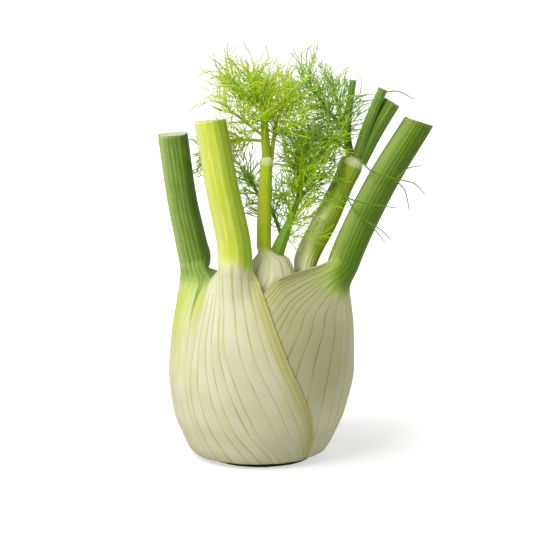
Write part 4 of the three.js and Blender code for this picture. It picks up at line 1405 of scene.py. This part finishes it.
def frond_tree():
    """Pinnae along the stems, threads along the pinnae and forks along the threads."""
    outputs = [("Frond", "Geometry")]
    nodes, given, result = new_group("Fennel frond", "GeometryNodeTree", FROND_INPUTS, outputs)
    shoots, curl, clear, mesh = side_shoots_group(), curl_group(), keep_clear_group(), thread_mesh_group()
    obstacle = nodes.add("GeometryNodeObjectInfo", transform_space="ORIGINAL")
    nodes.feed(obstacle.inputs["Object"], given["Obstacle"])

    def grow(curves, lift, waver, amount, **shape):
        grown = nodes.group(shoots, curves=curves, seed=given["Seed"], **shape).outputs[0]
        bent = nodes.group(curl, curves=grown, amount=amount, lift=lift, waver=waver, seed=given["Seed"])
        return nodes.group(
            clear, curves=bent.outputs[0], obstacle=obstacle.outputs["Geometry"], clearance=given["Clearance"]
        ).outputs[0]

    stems = nodes.out("GeometryNodeMeshToCurve", given["Stems"])
    pinnae = grow(
        stems, lift=nodes.named("lift"), waver=2 * MM, amount=0.12,
        step=given["Pinna step"], length=nodes.named("reach"), tip_length=0.65, slant=nodes.named("spread"),
        turn=GOLDEN_TURN, turn_chance=0.7, points=8,
    )
    threads = grow(
        pinnae, lift=0.06, waver=2.5 * MM, amount=given["Curl"],
        step=given["Thread step"], length=given["Thread length"], tip_length=0.6, slant=THREAD_SLANT,
        turn=THREAD_TURN, turn_chance=1.6, points=7,
    )
    forks = grow(
        threads, lift=0.04, waver=2 * MM, amount=given["Curl"],
        step=given["Fork step"], length=given["Fork length"], tip_length=0.7, slant=FORK_SLANT,
        turn=THREAD_TURN, turn_chance=2.4, points=6,
    )
    tip_radius = nodes.math("MULTIPLY", given["Thread radius"], TIP_SHARE)
    fork_radius = nodes.math("MULTIPLY", given["Thread radius"], FORK_SHARE)
    parts = [
        nodes.group(mesh, curves=pinnae, foot_radius=given["Pinna radius"], tip_radius=tip_radius, seed=1),
        nodes.group(mesh, curves=threads, foot_radius=given["Thread radius"], tip_radius=tip_radius, seed=2),
        nodes.group(mesh, curves=forks, foot_radius=fork_radius, tip_radius=tip_radius, seed=3),
    ]
    joined = nodes.add("GeometryNodeJoinGeometry")
    for part in reversed(parts):
        nodes.feed(joined.inputs[0], part.outputs[0])
    smooth = nodes.out("GeometryNodeSetShadeSmooth", joined.outputs[0])
    real = nodes.out("GeometryNodeRealizeInstances", smooth)
    finished = nodes.add("GeometryNodeSetMaterial")
    nodes.feed(finished.inputs["Geometry"], real)
    nodes.feed(finished.inputs["Material"], given["Finish"])
    nodes.feed(result["Frond"], finished.outputs[0])
    return nodes.tree


ROW_STEP = 0.8
SPREAD_CHANGE = (1.1, 0.35)  # of a row's spread, from its foot to its tip


def row_lines(name, frond):
    """The stretches of a frond's stems that carry pinnae, as edges with the row's values at each point."""
    points, edges = [], []
    values = dict(reach=[], spread=[], lift=[])
    for stem in frond.stems:
        row = stem.row
        if row is None:
            continue
        count = max(3, round(stem_length(stem) * (row["end"] - row["start"]) / ROW_STEP))
        place = np.linspace(0, 1, count)
        start = len(points)
        points += (stem_curve(stem.points, lerp(row["start"], row["end"], place)) * MM).tolist()
        edges += [(start + i, start + i + 1) for i in range(count - 1)]
        values["reach"] += [row["length"] * MM] * count
        values["spread"] += np.radians(row["spread"] * lerp(*SPREAD_CHANGE, place)).tolist()
        values["lift"] += [row["lift"]] * count
    mesh = bpy.data.meshes.new(name)
    mesh.from_pydata(points, edges, [])
    set_values(mesh, values)
    return linked(name, mesh)


def made_plain(piece, modifier):
    """Turns what a modifier makes into the piece's own mesh, and removes the modifier."""
    evaluated = piece.evaluated_get(bpy.context.evaluated_depsgraph_get())
    mesh = bpy.data.meshes.new_from_object(evaluated)
    piece.modifiers.remove(modifier)
    piece.data = mesh
    mesh.name = piece.name


def build_feathers(name, frond, tree, settings, obstacle, groups):
    """A frond's pinnae, threads and forks as one piece."""
    piece = row_lines(name + "_feathers", frond)
    modifier = piece.modifiers.new("Frond", "NODES")
    modifier.node_group = tree
    inputs = {
        item.name: item.identifier for item in tree.interface.items_tree
        if item.item_type == "SOCKET" and item.in_out == "INPUT"
    }
    for key in ("pinna_step", "pinna_radius", "thread_step", "thread_length", "thread_radius", "fork_step",
                "fork_length", "clearance", "curl"):
        modifier[inputs[key.replace("_", " ").capitalize()]] = getattr(settings, key)
    modifier[inputs["Seed"]] = settings.seed + frond.seed
    modifier[inputs["Obstacle"]] = obstacle
    modifier[inputs["Finish"]] = thread_material(name + "_threads", frond.threads, groups)
    made_plain(piece, modifier)
    if not piece.data.polygons:
        raise RuntimeError(f"{piece.name} came out empty")
    return piece


CROWN_CONE = (14.5, 11)  # radii at its foot and its top
CROWN_SIDES = 144
CROWN_WAVES = ((5, 1, 1), (11, 2.3, 1), (23, 0, 0.7))  # waves round the ragged rim, phase and amount


def build_crown(settings, groups):
    """The cut disc that the bulb stands on, with a ragged dried rim, and the cone that the leaves grow on."""
    low, high = (np.array(corner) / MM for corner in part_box("crown"))
    half = (high - low)[:2] / 2
    edge, ragged = settings.edge / MM, settings.raggedness / MM
    foot, tip = (radius / half[0] for radius in CROWN_CONE)
    shoulder = high[2] * 0.98
    profile = [(0.25, 0), (0.6, 0), (0.9, 0), (0.97, 0), (1, 0.3 * edge), (1, 0.7 * edge), (0.985, edge)]
    profile += [(foot, edge), (tip, shoulder), (0.2, shoulder)]
    turn = np.linspace(0, 2 * np.pi, CROWN_SIDES, endpoint=False)
    waves = sum(amount * np.sin(times * turn + phase) for times, phase, amount in CROWN_WAVES)
    rings, radius = [], []
    for share, height in profile:
        out = share - ragged / half[0] * (waves / 4 + 0.5) * (share > 0.8)
        x, y = out * half[0] * np.cos(turn), out * half[1] * np.sin(turn)
        rings.append(np.stack([x, y, 0 * turn + height], axis=-1))
        radius.append(share + 0 * turn)
    count = len(turn)
    points = np.concatenate([np.concatenate(rings), [[0, 0, 0], [0, 0, high[2]]]])
    faces = ring_faces(len(rings), count)
    bottom, top = len(rings) * count, len(rings) * count + 1
    faces += [((i + 1) % count, i, bottom) for i in range(count)]
    faces += fan_faces((len(rings) - 1) * count, count, top)
    values = dict(radius=np.concatenate([*radius, [0, 0]]))
    finish = crown_material(settings, groups)
    return new_piece("crown_disc", points, closed_faces(points, faces), values, [finish])


def fasten(piece, node):
    """Puts a piece in a solid part's place, under the body, and hides that part."""
    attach(piece, BODY)
    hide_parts(node)


class FENNEL_OT_crown(bpy.types.Operator):
    """Builds the cut disc that the bulb stands on"""

    bl_idname = "fennel.crown"
    bl_label = "Crown"

    def execute(self, context):
        fasten(build_crown(context.scene.fennel.crown, shared_groups()), "crown")
        return {"FINISHED"}


class FENNEL_OT_leaves(bpy.types.Operator):
    """Builds the leaves with their fleshy bases and stalks"""

    bl_idname = "fennel.leaves"
    bl_label = "Leaves"

    def execute(self, context):
        groups = shared_groups()
        for name, leaf in LEAVES.items():
            fasten(build_leaf(name, leaf, context.scene.fennel.leaves, groups), name)
        return {"FINISHED"}


class FENNEL_OT_fronds(bpy.types.Operator):
    """Builds the fronds: ribbed stems with feathery threads"""

    bl_idname = "fennel.fronds"
    bl_label = "Fronds"

    def execute(self, context):
        settings = context.scene.fennel
        groups = shared_groups()
        obstacle = joined_leaves()
        tree = frond_tree()
        for name, frond in FRONDS.items():
            fasten(build_stems(name, frond, settings.leaves, groups), name)
            fasten(build_feathers(name, frond, tree, settings.fronds, obstacle, groups), name)
        bpy.data.objects.remove(obstacle)
        return {"FINISHED"}


def joined_leaves():
    """A passing object with the faces of all the leaves, for the threads to keep clear of."""
    points, faces = [], []
    for name in LEAVES:
        mesh = bpy.data.objects[name + "_leaf"].data
        start = len(points)
        points += [vertex.co.copy() for vertex in mesh.vertices]
        faces += [[start + i for i in polygon.vertices] for polygon in mesh.polygons]
    mesh = bpy.data.meshes.new("leaf_obstacle")
    mesh.from_pydata(points, [], faces)
    return linked("leaf_obstacle", mesh)


FLOOR_RADIUS = 4
FLOOR_GLOW_AND_SHADOW = (0.04, 0.2, 0.56, 1.0)  # distances from the bulb, and how brightly the floor glows at each of them: it glows less near the bulb, which paints a shadow round its foot
BACKGROUND = 1.05
SENSOR_WIDTH = 36
AIM = Vector((3.4, 0, 101.1)) * MM
LIGHTS = {  # the setting of each light's power, its size and its place in metres
    "key_light": ("key", 1.3, (-0.97, -1.0, 1.45)),
    "fill_light": ("fill", 1.0, (1.3, 0.25, 0.5)),
    "edge_light": ("fill", 1.0, (-1.4, 0.1, 0.9)),
}


def aimed(thing, eye, target):
    """Places a light or a camera, looking at a target."""
    thing.location = eye
    thing.rotation_mode = "QUATERNION"
    thing.rotation_quaternion = (target - eye).to_track_quat("-Z", "Y")
    bpy.context.scene.collection.objects.link(thing)


def add_softbox(name, power, size, eye):
    light = bpy.data.lights.new(name, "AREA")
    light.shape = "DISK"
    light.size = size
    light.energy = power
    aimed(bpy.data.objects.new(name, light), Vector(eye), AIM)


def add_floor(settings):
    """A plain pale floor that glows a little, so that it reads as white, and glows less near the bulb, which
    paints a shadow round its foot.
    """
    turn = np.linspace(0, 2 * np.pi, 64, endpoint=False)
    points = np.stack([FLOOR_RADIUS * np.cos(turn), FLOOR_RADIUS * np.sin(turn), 0 * turn], axis=-1)
    mesh = bpy.data.meshes.new("floor")
    mesh.from_pydata(points.tolist(), [], [tuple(range(len(turn)))])
    material, nodes, shader = new_material("floor_paper")
    place = nodes.place()
    grain = nodes.out("ShaderNodeTexNoise", place, None, 60.0, 2.0)
    shader.inputs["Base Color"].default_value = opaque(settings.floor)
    nodes.feed(shader.inputs["Roughness"], nodes.math("MULTIPLY_ADD", grain, 0.1, 0.85))
    shader.inputs["Specular IOR Level"].default_value = 0
    shader.inputs["Emission Color"].default_value = (1, 1, 1, 1)
    away = nodes.add("ShaderNodeVectorMath", place, operation="LENGTH").outputs["Value"]
    seen = nodes.add("ShaderNodeLightPath").outputs["Is Camera Ray"]
    # The floor glows less near the bulb: a painted shadow round its foot
    glow_and_shadow = nodes.map_range(away, *FLOOR_GLOW_AND_SHADOW)
    nodes.feed(shader.inputs["Emission Strength"], nodes.math("MULTIPLY", seen, glow_and_shadow))
    mesh.materials.append(material)
    linked("floor", mesh)


def add_world(settings):
    """White all round, and dimmer as a light than as a background."""
    world = bpy.data.worlds.new("studio")
    world.use_nodes = True
    world.node_tree.nodes.clear()
    nodes = Nodes(world.node_tree)
    light = nodes.out("ShaderNodeBackground", (1, 1, 1, 1), settings.ambient)
    seen = nodes.out("ShaderNodeBackground", (1, 1, 1, 1), BACKGROUND)
    ray = nodes.add("ShaderNodeLightPath").outputs["Is Camera Ray"]
    mixed = nodes.out("ShaderNodeMixShader", ray, light, seen)
    output = nodes.add("ShaderNodeOutputWorld")
    nodes.feed(output.inputs["Surface"], mixed)
    bpy.context.scene.world = world


class FENNEL_OT_stage(bpy.types.Operator):
    """Adds the floor, the lights and the camera"""

    bl_idname = "fennel.stage"
    bl_label = "Stage"

    def execute(self, context):
        settings = context.scene.fennel.stage
        add_floor(settings)
        add_world(settings)
        for name, (power, size, eye) in LIGHTS.items():
            add_softbox(name, getattr(settings, power), size, eye)
        camera = bpy.data.cameras.new("camera")
        camera.sensor_width = SENSOR_WIDTH
        camera.lens = settings.lens
        elevation = settings.camera_elevation
        back = Vector((0, -math.cos(elevation), math.sin(elevation)))
        viewer = bpy.data.objects.new("camera", camera)
        aimed(viewer, AIM + back * settings.camera_distance, AIM)
        context.scene.camera = viewer
        context.scene.view_settings.view_transform = "Standard"
        return {"FINISHED"}


class FENNEL_PT_panel(bpy.types.Panel):
    """Lists the pieces of the fennel bulb and their settings"""

    bl_idname = "FENNEL_PT_panel"
    bl_label = "Fennel bulb"
    bl_space_type = "VIEW_3D"
    bl_region_type = "UI"
    bl_category = "Fennel"

    def draw(self, context):
        settings = context.scene.fennel
        for operator, group in (
            (FENNEL_OT_crown, settings.crown),
            (FENNEL_OT_leaves, settings.leaves),
            (FENNEL_OT_fronds, settings.fronds),
            (FENNEL_OT_stage, settings.stage),
        ):
            box = self.layout.box()
            box.operator(operator.bl_idname)
            for key in group.__annotations__:
                box.prop(group, key)


CLASSES = (
    LeafSettings,
    FrondSettings,
    CrownSettings,
    StageSettings,
    FennelSettings,
    FENNEL_OT_crown,
    FENNEL_OT_leaves,
    FENNEL_OT_fronds,
    FENNEL_OT_stage,
    FENNEL_PT_panel,
)


def register():
    for cls in CLASSES:
        bpy.utils.register_class(cls)
    bpy.types.Scene.fennel = PointerProperty(type=FennelSettings)


def unregister():
    del bpy.types.Scene.fennel
    for cls in reversed(CLASSES):
        bpy.utils.unregister_class(cls)


def main():
    register()
    bpy.ops.fennel.crown()
    bpy.ops.fennel.leaves()
    bpy.ops.fennel.fronds()
    bpy.ops.fennel.stage()


if __name__ == "__main__":
    main()
